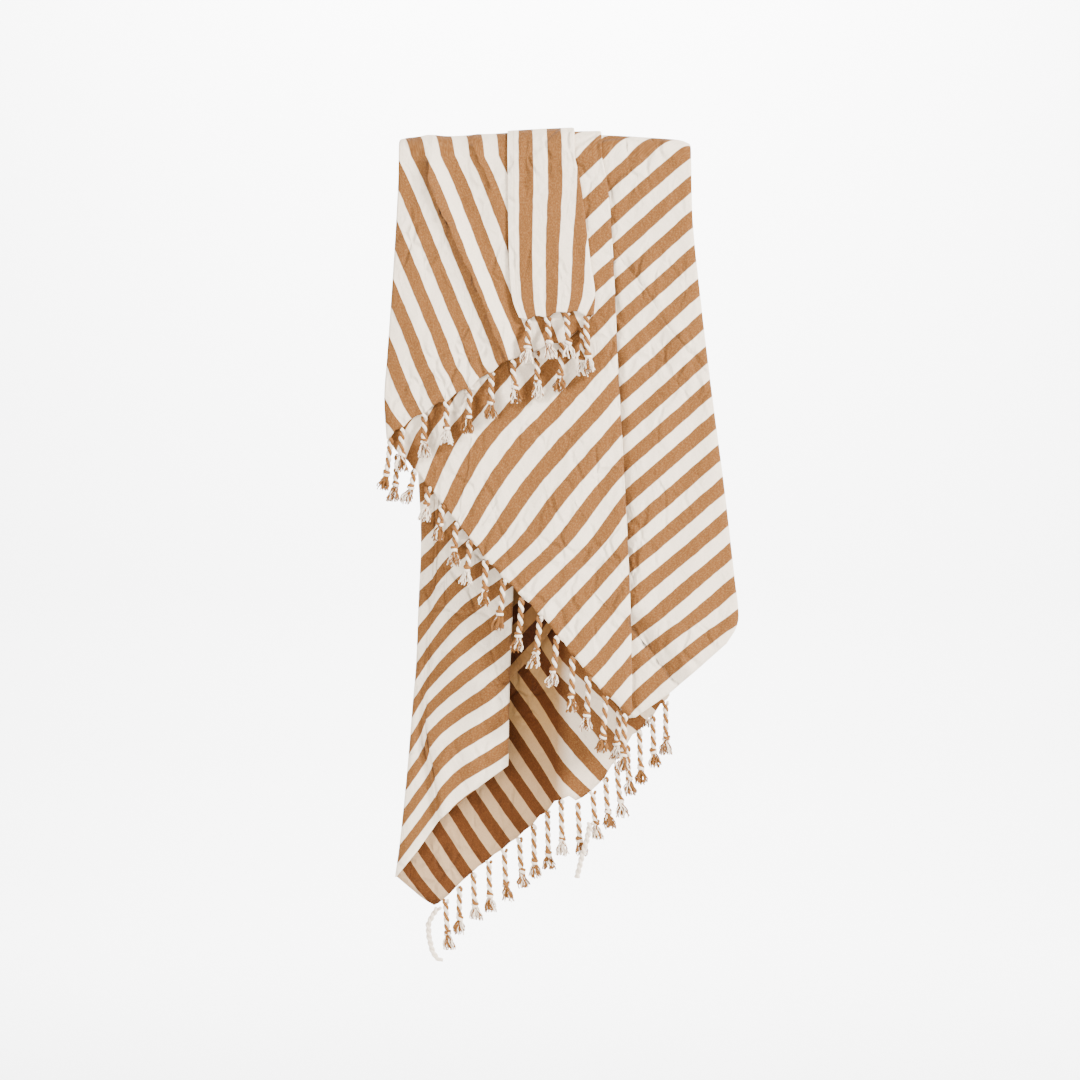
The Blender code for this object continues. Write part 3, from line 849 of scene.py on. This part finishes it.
# %% Helpers for node trees
class Tree:
    """A node tree in the making."""

    def __init__(self, graph):
        self.graph = graph

    def feed(self, socket, value):
        """Sets a socket to a value, or links an output to it."""
        if isinstance(value, bpy.types.NodeSocket):
            self.graph.links.new(value, socket)
        else:
            socket.default_value = value

    def add(self, kind, settings=None, **sockets):
        """Adds a node. Settings are its properties, and sockets go by their names."""
        made = self.graph.nodes.new(kind)
        for name, value in (settings or {}).items():
            setattr(made, name, value)
        for name, value in sockets.items():
            label = name.replace("_", " ").lower()
            named = [socket for socket in made.inputs if socket.name.lower() == label]
            self.feed(next(socket for socket in named if socket.enabled), value)
        return made

    def node(self, kind, settings=None, **sockets):
        """Adds a node and gives its first output in use."""
        made = self.add(kind, settings, **sockets)
        return next(output for output in made.outputs if output.enabled)

    def maths(self, operation, *values, kind="ShaderNodeMath"):
        """Adds a Math node on values or outputs."""
        made = self.add(kind, {"operation": operation})
        for socket, value in zip(made.inputs, values):
            self.feed(socket, value)
        return next(output for output in made.outputs if output.enabled)

    def vectors(self, operation, *values):
        """Adds a Vector Math node on values or outputs."""
        return self.maths(operation, *values, kind="ShaderNodeVectorMath")

    def split(self, vector):
        """The X, Y and Z of a vector."""
        return self.add("ShaderNodeSeparateXYZ", Vector=vector).outputs

    def between(self, value, low, high, start=0.0, end=1.0, smooth=False):
        """Maps a value between low and high to one between start and end."""
        way = {"interpolation_type": "SMOOTHSTEP" if smooth else "LINEAR"}
        return self.node("ShaderNodeMapRange", way, Value=value, From_Min=low, From_Max=high,
                         To_Min=start, To_Max=end)

    def mix(self, factor, first, second, blend="MIX"):
        """Mixes or blends two colours."""
        return self.node("ShaderNodeMix", {"data_type": "RGBA", "blend_type": blend},
                         Factor=factor, A=first, B=second)

    def random(self, low, high, seed, kind="FLOAT"):
        """A random value for each element."""
        return self.node("FunctionNodeRandomValue", {"data_type": kind}, Min=low, Max=high, Seed=seed)

    def read(self, name, kind="FLOAT"):
        """Reads an attribute of the geometry."""
        return self.node("GeometryNodeInputNamedAttribute", {"data_type": kind}, Name=name)

    def store(self, shape, name, value, kind="FLOAT", domain="POINT"):
        """Stores an attribute on the geometry."""
        return self.node("GeometryNodeStoreNamedAttribute", {"data_type": kind, "domain": domain},
                         Geometry=shape, Name=name, Value=value)

    def tube(self, curve, profile):
        """Sweeps a profile along a curve."""
        return self.node("GeometryNodeCurveToMesh", Curve=curve, Profile_Curve=profile, Fill_Caps=True)


def new_group(kind, name, inputs, outputs):
    """A node group with its sockets, as (its tree, what it is given, what it gives)."""
    made = bpy.data.node_groups.new(name, kind)
    for label, socket in outputs:
        made.interface.new_socket(label, in_out="OUTPUT", socket_type=socket)
    for label, socket, value in inputs:
        item = made.interface.new_socket(label, in_out="INPUT", socket_type=socket)
        if value is not None:
            item.default_value = value
    given = made.nodes.new("NodeGroupInput").outputs
    return Tree(made), given, made.nodes.new("NodeGroupOutput").inputs


FLOAT, VECTOR, INTEGER = "NodeSocketFloat", "NodeSocketVector", "NodeSocketInt"
COLOUR, MATERIAL, GEOMETRY = "NodeSocketColor", "NodeSocketMaterial", "NodeSocketGeometry"
print("helpers ready")

# %% The tassel tree: its inputs
FRONT_SEED = 7
TASSEL_INPUTS = [
    ("Geometry", GEOMETRY, None),
    ("Ply radius", FLOAT, 1.95 * MM),
    ("Winding radius", FLOAT, 1.75 * MM),
    ("Lay", FLOAT, 15 * MM),
    ("Threads", INTEGER, 36),
    ("Thread radius", FLOAT, 0.75 * MM),
    ("Tuft length", FLOAT, 15.5 * MM),
    ("Tuft spread", FLOAT, 8.0 * MM),
    ("Seed", INTEGER, FRONT_SEED),
    ("Material", MATERIAL, None),
]
tree, given, final = new_group("GeometryNodeTree", "knotted_tassels", TASSEL_INPUTS,
                               [("Geometry", GEOMETRY)])
print(len(TASSEL_INPUTS), "inputs")

# %% The tassel tree: two plies round each cord
FULL_TURN = 6.28
OPEN_END = 7 * MM
OPEN_SHARE = 1.6
cords = tree.node("GeometryNodeMeshToCurve", Mesh=given["Geometry"])
cords = tree.node("GeometryNodeResampleCurve", Curve=cords, Count=40)
spline = tree.add("GeometryNodeSplineParameter").outputs
phase = tree.node("GeometryNodeFieldOnDomain", {"domain": "CURVE", "data_type": "FLOAT"},
                  Value=tree.random(0.0, FULL_TURN, given["Seed"]))
turn = tree.maths("DIVIDE", spline["Length"], given["Lay"])
turn = tree.maths("ADD", tree.maths("MULTIPLY", turn, 2 * math.pi), phase)
open_end = tree.between(spline["Length"], 0.0, OPEN_END, OPEN_SHARE, 1.0)
reach = tree.maths("MULTIPLY", given["Winding radius"], open_end)
profile = tree.node("GeometryNodeCurvePrimitiveCircle", Resolution=7, Radius=given["Ply radius"])
twisted = tree.maths("SUBTRACT", 1.0, tree.read("plain"))
parts = []
for ply in (0, 1):
    angle = tree.maths("ADD", turn, math.pi * ply)
    offset = tree.node("ShaderNodeCombineXYZ",
                       X=tree.maths("MULTIPLY", tree.maths("COSINE", angle), reach),
                       Y=tree.maths("MULTIPLY", tree.maths("SINE", angle), reach))
    wound = tree.node("GeometryNodeSetPosition", Geometry=cords, Offset=offset)
    wound = tree.store(wound, "tint", tree.maths("MULTIPLY", twisted, float(ply)))
    parts.append(tree.tube(wound, profile))
print(len(tree.graph.nodes), "nodes so far")

# %% The tassel tree: knots
KNOT_TILT = 0.35
TAN_FROM = 0.45
knots = tree.node("FunctionNodeCompare", {"data_type": "FLOAT", "operation": "GREATER_THAN"},
                  A=tree.read("knot"), B=0.5)
knots = tree.node("GeometryNodeMeshToPoints", Mesh=given["Geometry"], Selection=knots)
coil = tree.node("GeometryNodeCurveSpiral", Resolution=18, Rotations=1.7, Start_Radius=2.9 * MM,
                 End_Radius=2.5 * MM, Height=5.0 * MM)
coil = tree.store(coil, "tint", tree.maths("GREATER_THAN", spline["Factor"], TAN_FROM))
coil = tree.tube(coil, profile)
spin = tree.random((-KNOT_TILT, -KNOT_TILT, 0.0), (KNOT_TILT, KNOT_TILT, FULL_TURN),
                   given["Seed"], "FLOAT_VECTOR")
parts.append(tree.node("GeometryNodeInstanceOnPoints", Points=knots, Instance=coil, Rotation=spin))
print(len(tree.graph.nodes), "nodes so far")

# %% The tassel tree: the threads of the tufts
PICK_SEED = 5.0
many = tree.node("GeometryNodeDuplicateElements", {"domain": "POINT"}, Geometry=knots,
                 Amount=given["Threads"])
thread = tree.node("GeometryNodeCurvePrimitiveLine", Start=(0, 0, 0), End=(0, 0, -1))
thread = tree.node("GeometryNodeResampleCurve", Curve=thread, Count=6)
size = tree.node("ShaderNodeCombineXYZ", X=1.0, Y=1.0, Z=given["Tuft length"])
threads = tree.node("GeometryNodeInstanceOnPoints", Points=many, Instance=thread, Scale=size)
threads = tree.node("GeometryNodeRealizeInstances", Geometry=threads)
stray = tree.random((-1, -1, -0.2), (1, 1, 0.25), given["Seed"], "FLOAT_VECTOR")
threads = tree.store(threads, "stray", stray, "FLOAT_VECTOR", "CURVE")
pick = tree.random(0.0, 1.0, tree.maths("ADD", given["Seed"], PICK_SEED))
tint = tree.maths("LESS_THAN", pick, tree.read("tan"))
threads = tree.store(threads, "tint", tint, "FLOAT", "CURVE")
print(len(tree.graph.nodes), "nodes so far")

# %% The tassel tree: how the threads spread
SPREAD_BY = 0.75
SPREAD_ROUND = 0.5
NECK = 1.3 * MM
SWAY = 1.1 * MM
SWAY_TURN = 7.0
SWAY_SHIFT = 30.0
axes = tree.split(tree.read("stray", "FLOAT_VECTOR"))
going = tree.split(tree.read("heading", "FLOAT_VECTOR"))
fall = spline["Factor"]
spread = tree.maths("SMOOTH_MIN", fall, SPREAD_BY, SPREAD_ROUND)
spread = tree.maths("ADD", tree.maths("MULTIPLY", given["Tuft spread"], spread), NECK)
sway = tree.maths("MULTIPLY_ADD", fall, SWAY_TURN, tree.maths("MULTIPLY", axes[2], SWAY_SHIFT))
sway = tree.maths("MULTIPLY", tree.maths("SINE", sway), SWAY)
aside = tree.maths("ADD", tree.maths("MULTIPLY", axes[0], spread), sway)
aside = tree.maths("ADD", aside, tree.maths("MULTIPLY", going[0], fall))
forward = tree.maths("ADD", tree.maths("MULTIPLY", axes[1], spread), sway)
longer = tree.maths("MULTIPLY", tree.maths("MULTIPLY", axes[2], fall), given["Tuft length"])
offset = tree.node("ShaderNodeCombineXYZ", X=aside, Y=forward, Z=longer)
threads = tree.node("GeometryNodeSetPosition", Geometry=threads, Offset=offset)
fibre = tree.node("GeometryNodeCurvePrimitiveCircle", Resolution=4, Radius=given["Thread radius"])
parts.append(tree.tube(threads, fibre))
print(len(tree.graph.nodes), "nodes so far")

# %% The tassel tree: join, realize and give the material
joined = tree.add("GeometryNodeJoinGeometry")
for part in reversed(parts):
    tree.feed(joined.inputs[0], part)
whole = tree.node("GeometryNodeSetShadeSmooth", Geometry=joined.outputs[0])
whole = tree.node("GeometryNodeRealizeInstances", Geometry=whole)
whole = tree.node("GeometryNodeSetMaterial", Geometry=whole, Material=given["Material"])
tree.feed(final["Geometry"], whole)
tassel_tree = tree.graph
print(len(tassel_tree.nodes), "nodes in the tassel tree")

# %% [markdown]
# ## Materials
#
# `woven_cotton` turns the UV map into stripes, flecks and the heights of the weave and of the
# small creases. `crease_line` gives the height of one larger crease, and the table below says
# where these lie. The material itself holds the Principled shader.

# %% Colours
TAN = (0.125, 0.0465, 0.0108, 1.0)
TAN_LIGHT = (0.19, 0.086, 0.028, 1.0)
CREAM = (0.75, 0.625, 0.48, 1.0)
CREAM_DARK = (0.60, 0.48, 0.36, 1.0)
print("tan", TAN[:3], "cream", CREAM[:3])

# %% The weave: stripes and flecks
TAN_MIDDLE = 0.255
TAN_REACH = (0.24, 0.27)
WANDER = 0.05
FLECK_SCALE = (760.0, 420.0, 1.0)
FLECK_RANGE = (0.42, 0.72)
CREAM_FLECKS = 0.55
ABOVE_ZERO = 10.0
tree, given, final = new_group(
    "ShaderNodeTree", "woven_cotton",
    [("Weave", VECTOR, None), ("Object", VECTOR, None), ("Pitch", FLOAT, PITCH)],
    [("Colour", COLOUR), ("Height", FLOAT), ("Crease", FLOAT)])
weave = tree.split(given["Weave"])
wander = tree.node("ShaderNodeTexNoise", {"noise_dimensions": "2D"}, Vector=given["Weave"],
                   Scale=60.0, Detail=2.0)
wander = tree.maths("MULTIPLY", tree.maths("SUBTRACT", wander, 0.5), WANDER)
stripe = tree.maths("ADD", tree.maths("DIVIDE", weave[0], given["Pitch"]), wander)
phase = tree.maths("FRACT", tree.maths("ADD", stripe, ABOVE_ZERO - FIRST_TASSEL))
from_middle = tree.maths("ABSOLUTE", tree.maths("SUBTRACT", phase, TAN_MIDDLE))
is_tan = tree.between(from_middle, *TAN_REACH, 1.0, 0.0, smooth=True)
threadwise = tree.node("ShaderNodeMapping", Vector=given["Weave"], Scale=FLECK_SCALE)
fleck = tree.node("ShaderNodeTexNoise", {"noise_dimensions": "2D"}, Vector=threadwise, Scale=1.0,
                  Detail=3.0, Roughness=0.6)
fleck = tree.between(fleck, *FLECK_RANGE)
tan = tree.mix(fleck, TAN, TAN_LIGHT)
pale = tree.mix(tree.maths("MULTIPLY", fleck, CREAM_FLECKS), CREAM, CREAM_DARK)
colour = tree.mix(is_tan, pale, tan)
print(len(tree.graph.nodes), "nodes so far")

# %% The weave: the line along the selvedge, and the threads' height
SELVEDGE_LINE = 7.0 * MM
LINE_REACH = (0.3 * MM, 1.1 * MM)
LINE_STRENGTH = 0.8
WARP_PITCH = 1.5 * MM
WEFT_PITCH = 1.1 * MM
CROSSING_SHARE = 0.5
from_line = tree.maths("ABSOLUTE", tree.maths("SUBTRACT", weave[0], SELVEDGE_LINE))
line = tree.between(from_line, *LINE_REACH, LINE_STRENGTH, 0.0, smooth=True)
tree.feed(final["Colour"], tree.mix(line, colour, CREAM_DARK))
warp = tree.maths("SINE", tree.maths("MULTIPLY", weave[0], 2 * math.pi / WARP_PITCH))
weft = tree.maths("SINE", tree.maths("MULTIPLY", weave[1], 2 * math.pi / WEFT_PITCH))
crossing = tree.maths("MULTIPLY", warp, weft)
tree.feed(final["Height"], tree.maths("MULTIPLY_ADD", crossing, CROSSING_SHARE, fleck))
print(len(tree.graph.nodes), "nodes so far")

# %% The weave: small soft and sharp creases
CRUSH = 24 * MM
LINE_WIDTH = 0.16
PATCH_RANGE = (0.42, 0.62)
PATCH_STRENGTH = 0.75
drawn = tree.node("ShaderNodeMapping", Vector=given["Object"], Rotation=(0.0, 0.35, 0.0),
                  Scale=(1.0, 1.0, 0.6))
soft = tree.node("ShaderNodeTexNoise", Vector=drawn, Scale=60.0, Detail=3.0, Roughness=0.55,
                 Distortion=0.8)
bent = tree.add("ShaderNodeTexNoise", Vector=given["Object"], Scale=24.0, Detail=2.0)
crushed = tree.vectors("MULTIPLY_ADD", bent.outputs["Color"], (CRUSH, CRUSH, CRUSH), drawn)
lines = tree.node("ShaderNodeTexVoronoi", {"feature": "DISTANCE_TO_EDGE"}, Vector=crushed, Scale=38.0)
lines = tree.between(lines, 0.0, LINE_WIDTH, smooth=True)
patches = tree.node("ShaderNodeTexNoise", Vector=given["Object"], Scale=13.0, Detail=1.0)
patches = tree.between(patches, *PATCH_RANGE, 0.0, PATCH_STRENGTH)
tree.feed(final["Crease"], tree.maths("MULTIPLY_ADD", lines, patches, soft))
weave_group = tree.graph
print(len(weave_group.nodes), "nodes in the weave")

# %% Placed creases, in millimetres
# Left and right width, the rise of each stretch, and the way as (across, drop)
CREASE_LINES = [
    (5, 26, [-9.0], [(99.7, 549), (157, 620)]),
    (0.4, 12, [-2.4], [(74, 41), (85, 250)]),
    (0.4, 13, [-2.6], [(85, 250), (99.7, 549)]),
    (2.5, 7, [-1.6], [(76, 97), (150, 208)]),
    (2.5, 8, [-2.2], [(150, 208), (187, 251)]),
    (12, 16, [7.5, 7.5, 7.0, 5.5], [(-137, 10), (-135, 40), (-113, 84), (-78, 161), (-47, 238)]),
    (6, 7, [2.6], [(-84, -12), (-62, 38)]),
    (3, 3, [1.2, 1.2], [(-85, 332), (-93, 385), (-102, 427)]),
    (3, 3, [1.0], [(-56, 409), (-71, 432)]),
    (3, 3, [1.1], [(35, 406), (53, 430)]),
    (3, 3, [1.1], [(56, 509), (74, 530)]),
    (3, 3, [-0.7], [(80, 468), (90, 515)]),
    (3, 4, [0.8], [(-123, 132), (-97, 175)]),
]
print(sum(len(row[2]) for row in CREASE_LINES), "stretches of crease")

# %% The height of one stretch of crease
tree, given, final = new_group(
    "ShaderNodeTree", "crease_line",
    [("Place", VECTOR, None), ("Downward", VECTOR, None), ("Rightward", VECTOR, None),
     ("Start down", FLOAT, 0.0), ("Start right", FLOAT, 0.0), ("Length", FLOAT, 50 * MM),
     ("Left width", FLOAT, 3 * MM), ("Right width", FLOAT, 3 * MM), ("Rise", FLOAT, 1 * MM)],
    [("Height", FLOAT)])
down = tree.vectors("DOT_PRODUCT", given["Place"], given["Downward"])
down = tree.maths("SUBTRACT", down, given["Start down"])
right = tree.vectors("DOT_PRODUCT", given["Place"], given["Rightward"])
right = tree.maths("SUBTRACT", right, given["Start right"])
inside = tree.maths("MAXIMUM", tree.maths("MINIMUM", down, given["Length"]), 0.0)
past = tree.maths("SUBTRACT", down, inside)
apart = tree.maths("MULTIPLY_ADD", past, past, tree.maths("MULTIPLY", right, right))
wide = tree.between(tree.maths("LESS_THAN", right, 0.0), 0.0, 1.0, given["Right width"],
                    given["Left width"])
share = tree.maths("MINIMUM", tree.maths("DIVIDE", tree.maths("SQRT", apart), wide), 1.0)
hump = tree.maths("POWER", tree.maths("SUBTRACT", 1.0, share), 2.0)
tree.feed(final["Height"], tree.maths("MULTIPLY", hump, given["Rise"]))
crease_group = tree.graph
print(len(crease_group.nodes), "nodes in a crease")

# %% The height of all the placed creases
WOBBLE = 9 * MM


def placed_creases(tree, place):
    """The height in metres, on the front side alone. Raised and sunken creases add up."""
    bent = tree.add("ShaderNodeTexNoise", Vector=place, Scale=45.0, Detail=1.0).outputs["Color"]
    bent = tree.vectors("SUBTRACT", bent, (0.5, 0.5, 0.5))
    bent = tree.vectors("MULTIPLY_ADD", bent, (WOBBLE, WOBBLE, WOBBLE), place)
    raised, sunken = 0.0, 0.0
    for left, right, rises, way in CREASE_LINES:
        for rise, *ends in zip(rises, way, way[1:]):
            start, end = [Vector((beside * MM, 0.0, -down * MM)) for beside, down in ends]
            downward = (end - start).normalized()
            rightward = Vector((-downward.z, 0.0, downward.x))
            height = tree.node(
                "ShaderNodeGroup", {"node_tree": crease_group}, Place=bent, Downward=downward,
                Rightward=rightward, Start_down=start.dot(downward),
                Start_right=start.dot(rightward), Length=(end - start).length,
                Left_width=left * MM, Right_width=right * MM, Rise=rise * MM)
            if rise > 0:
                raised = tree.maths("MAXIMUM", raised, height)
            else:
                sunken = tree.maths("MINIMUM", sunken, height)
    in_front = tree.maths("LESS_THAN", tree.split(place)[1], 0.0)
    return tree.maths("MULTIPLY", tree.maths("ADD", raised, sunken), in_front)


print("creases wander by up to", WOBBLE / 2, "m")

# %% Helper for materials
COTTON = {"Roughness": 0.95, "Sheen Weight": 0.03, "Sheen Roughness": 0.5,
          "Specular IOR Level": 0.12}


def new_material(name, looks):
    """A material with its constant looks, as (material, its tree, its shader's inputs)."""
    made = bpy.data.materials.new(name)
    made.use_nodes = True
    inputs = made.node_tree.nodes["Principled BSDF"].inputs
    for label, value in looks.items():
        inputs[label].default_value = value
    return made, Tree(made.node_tree), inputs


print("cotton:", COTTON)

# %% The cloth's material
WARM_SHADE = (0.36, 0.235, 0.11, 1.0)
DEEP_SHADE = (0.48, 0.38, 0.30, 1.0)
cotton, tree, shader = new_material("striped_cotton", COTTON)
place = tree.add("ShaderNodeTexCoord").outputs["Object"]
weave = tree.add("ShaderNodeGroup", {"node_tree": weave_group}, Object=place,
                 Weave=tree.node("ShaderNodeUVMap", {"uv_map": "weave"})).outputs
shade = tree.add("ShaderNodeAttribute", {"attribute_name": "shade"}).outputs["Fac"]
shaded = tree.mix(shade, weave["Colour"], WARM_SHADE, "MULTIPLY")
deeper = tree.mix(tree.maths("SUBTRACT", shade, 1.0), shaded, DEEP_SHADE, "MULTIPLY")
tree.feed(shader["Base Color"], deeper)
placed = tree.node("ShaderNodeBump", Strength=1.0, Distance=1.0, Height=placed_creases(tree, place))
creases = tree.node("ShaderNodeBump", Strength=1.0, Distance=2.8 * MM, Height=weave["Crease"],
                    Normal=placed)
bump = tree.node("ShaderNodeBump", Strength=0.3, Distance=0.25 * MM, Height=weave["Height"],
                 Normal=creases)
tree.feed(shader["Normal"], bump)
print("made", cotton.name, "with", len(tree.graph.nodes), "nodes")

# %% The tassels' material
TASSEL_TAN = (0.17, 0.062, 0.0115, 1.0)
TASSEL_CREAM = (0.80, 0.68, 0.55, 1.0)
FUZZ_RANGE = (0.3, 0.75)
yarn, tree, shader = new_material("tassel_cotton", COTTON)
tint = tree.add("ShaderNodeAttribute", {"attribute_name": "tint"}).outputs["Fac"]
place = tree.add("ShaderNodeTexCoord").outputs["Object"]
fuzz = tree.node("ShaderNodeTexNoise", Vector=place, Scale=900.0, Detail=2.0)
patchy = tree.between(fuzz, *FUZZ_RANGE)
tan = tree.mix(patchy, TASSEL_TAN, TAN_LIGHT)
pale = tree.mix(patchy, TASSEL_CREAM, CREAM_DARK)
tree.feed(shader["Base Color"], tree.mix(tint, pale, tan))
bump = tree.node("ShaderNodeBump", Strength=0.5, Distance=0.3 * MM, Height=fuzz)
tree.feed(shader["Normal"], bump)
print("made", yarn.name, "with", len(tree.graph.nodes), "nodes")

# %% [markdown]
# ## Run the tree and attach the pieces
#
# The modifier's inputs are set by identifier before the object is first evaluated. The result is
# made a plain mesh, so the export sees only triangles.

# %% Tassels as meshes
BACK_SEED = 21


def grow(name, base, settings):
    """A plain mesh object from the tassel tree."""
    item = add_object(name, base)
    modifier = item.modifiers.new("tassels", "NODES")
    modifier.node_group = tassel_tree
    for socket in tassel_tree.interface.items_tree:
        if socket.in_out == "INPUT" and socket.name in settings:
            modifier[socket.identifier] = settings[socket.name]
    apply_modifier(item, modifier)
    return item


front_tassels = grow("front_tassels", bases[FRONT], {"Seed": FRONT_SEED, "Material": yarn})
back_tassels = grow("back_tassels", bases[BACK], {"Seed": BACK_SEED, "Material": yarn})
print(len(front_tassels.data.polygons), "and", len(back_tassels.data.polygons), "faces")

# %% Attach the pieces to the frame
cloth.data.materials.append(cotton)
for piece in (cloth, front_tassels, back_tassels):
    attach(piece, "root")
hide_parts("towel_cloth")
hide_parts("front_fringe")
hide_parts("back_fringe")
print("pieces attached")

# %% [markdown]
# ## Studio
#
# A pale sweep stands behind and below the towel, far enough back to leave views from behind free.
# The key light is at the upper right in front, a weaker one fills from the low left, and a third
# lights the sweep. A pale sky lifts the shadows.

# %% Floor and backdrop
PALE_GREY = (0.93, 0.93, 0.93, 1.0)
SWEEP = [(-5.0, -1.35), (3.3, -1.35), (3.9, -1.27), (4.4, -1.0), (4.65, -0.6), (4.75, 4.5)]
SWEEP_SIDE = 7.0
count = len(SWEEP)
sweep_mesh = bpy.data.meshes.new("sweep")
sweep_points = [(x, y, z) for x in (-SWEEP_SIDE, SWEEP_SIDE) for y, z in SWEEP]
sweep_mesh.from_pydata(sweep_points, [], [(i, i + 1, i + 1 + count, i + count) for i in range(count - 1)])
sweep_mesh.polygons.foreach_set("use_smooth", [True] * (count - 1))
sweep = add_object("sweep", sweep_mesh)
paper = new_material("pale_paper", {"Base Color": PALE_GREY, "Roughness": 0.9})[0]
sweep_mesh.materials.append(paper)
print("sweep in place")

# %% Lights
SKY = {"Color": (1.0, 1.0, 1.0, 1.0), "Strength": 1.35}
LIGHTS = [
    {"name": "key", "place": (3.3, -2.3, 2.3), "aim": (0, 0, -0.45), "size": 0.8, "watts": 880},
    {"name": "fill", "place": (-2.0, -2.8, -0.8), "aim": (0, 0, -0.7), "size": 1.4, "watts": 120},
    {"name": "back_wash", "place": (0, 2.7, 2.4), "aim": (0, 4.7, -0.4), "size": 3.0, "watts": 850},
]
for row in LIGHTS:
    light = bpy.data.lights.new(row["name"], "AREA")
    light.size = row["size"]
    light.energy = row["watts"]
    lamp = add_object(row["name"], light)
    lamp.location = row["place"]
    way = Vector(row["aim"]) - Vector(row["place"])
    lamp.rotation_euler = way.to_track_quat("-Z", "Y").to_euler()
world = bpy.data.worlds.new("studio")
world.use_nodes = True
for label, value in SKY.items():
    world.node_tree.nodes["Background"].inputs[label].default_value = value
bpy.context.scene.world = world
print(len(LIGHTS), "lights in place")

# %% Camera
CAMERA_PLACE = (-0.0059, -3.5, -0.450)
SENSOR_WIDTH = 36.0
LENS = 98.9
camera_data = bpy.data.cameras.new("camera")
camera_data.sensor_width = SENSOR_WIDTH
camera_data.lens = LENS
camera = add_object("camera", camera_data)
camera.location = CAMERA_PLACE
camera.rotation_euler = (math.radians(90), 0, 0)
bpy.context.scene.camera = camera
print("camera", round(camera_data.lens, 1), "mm")
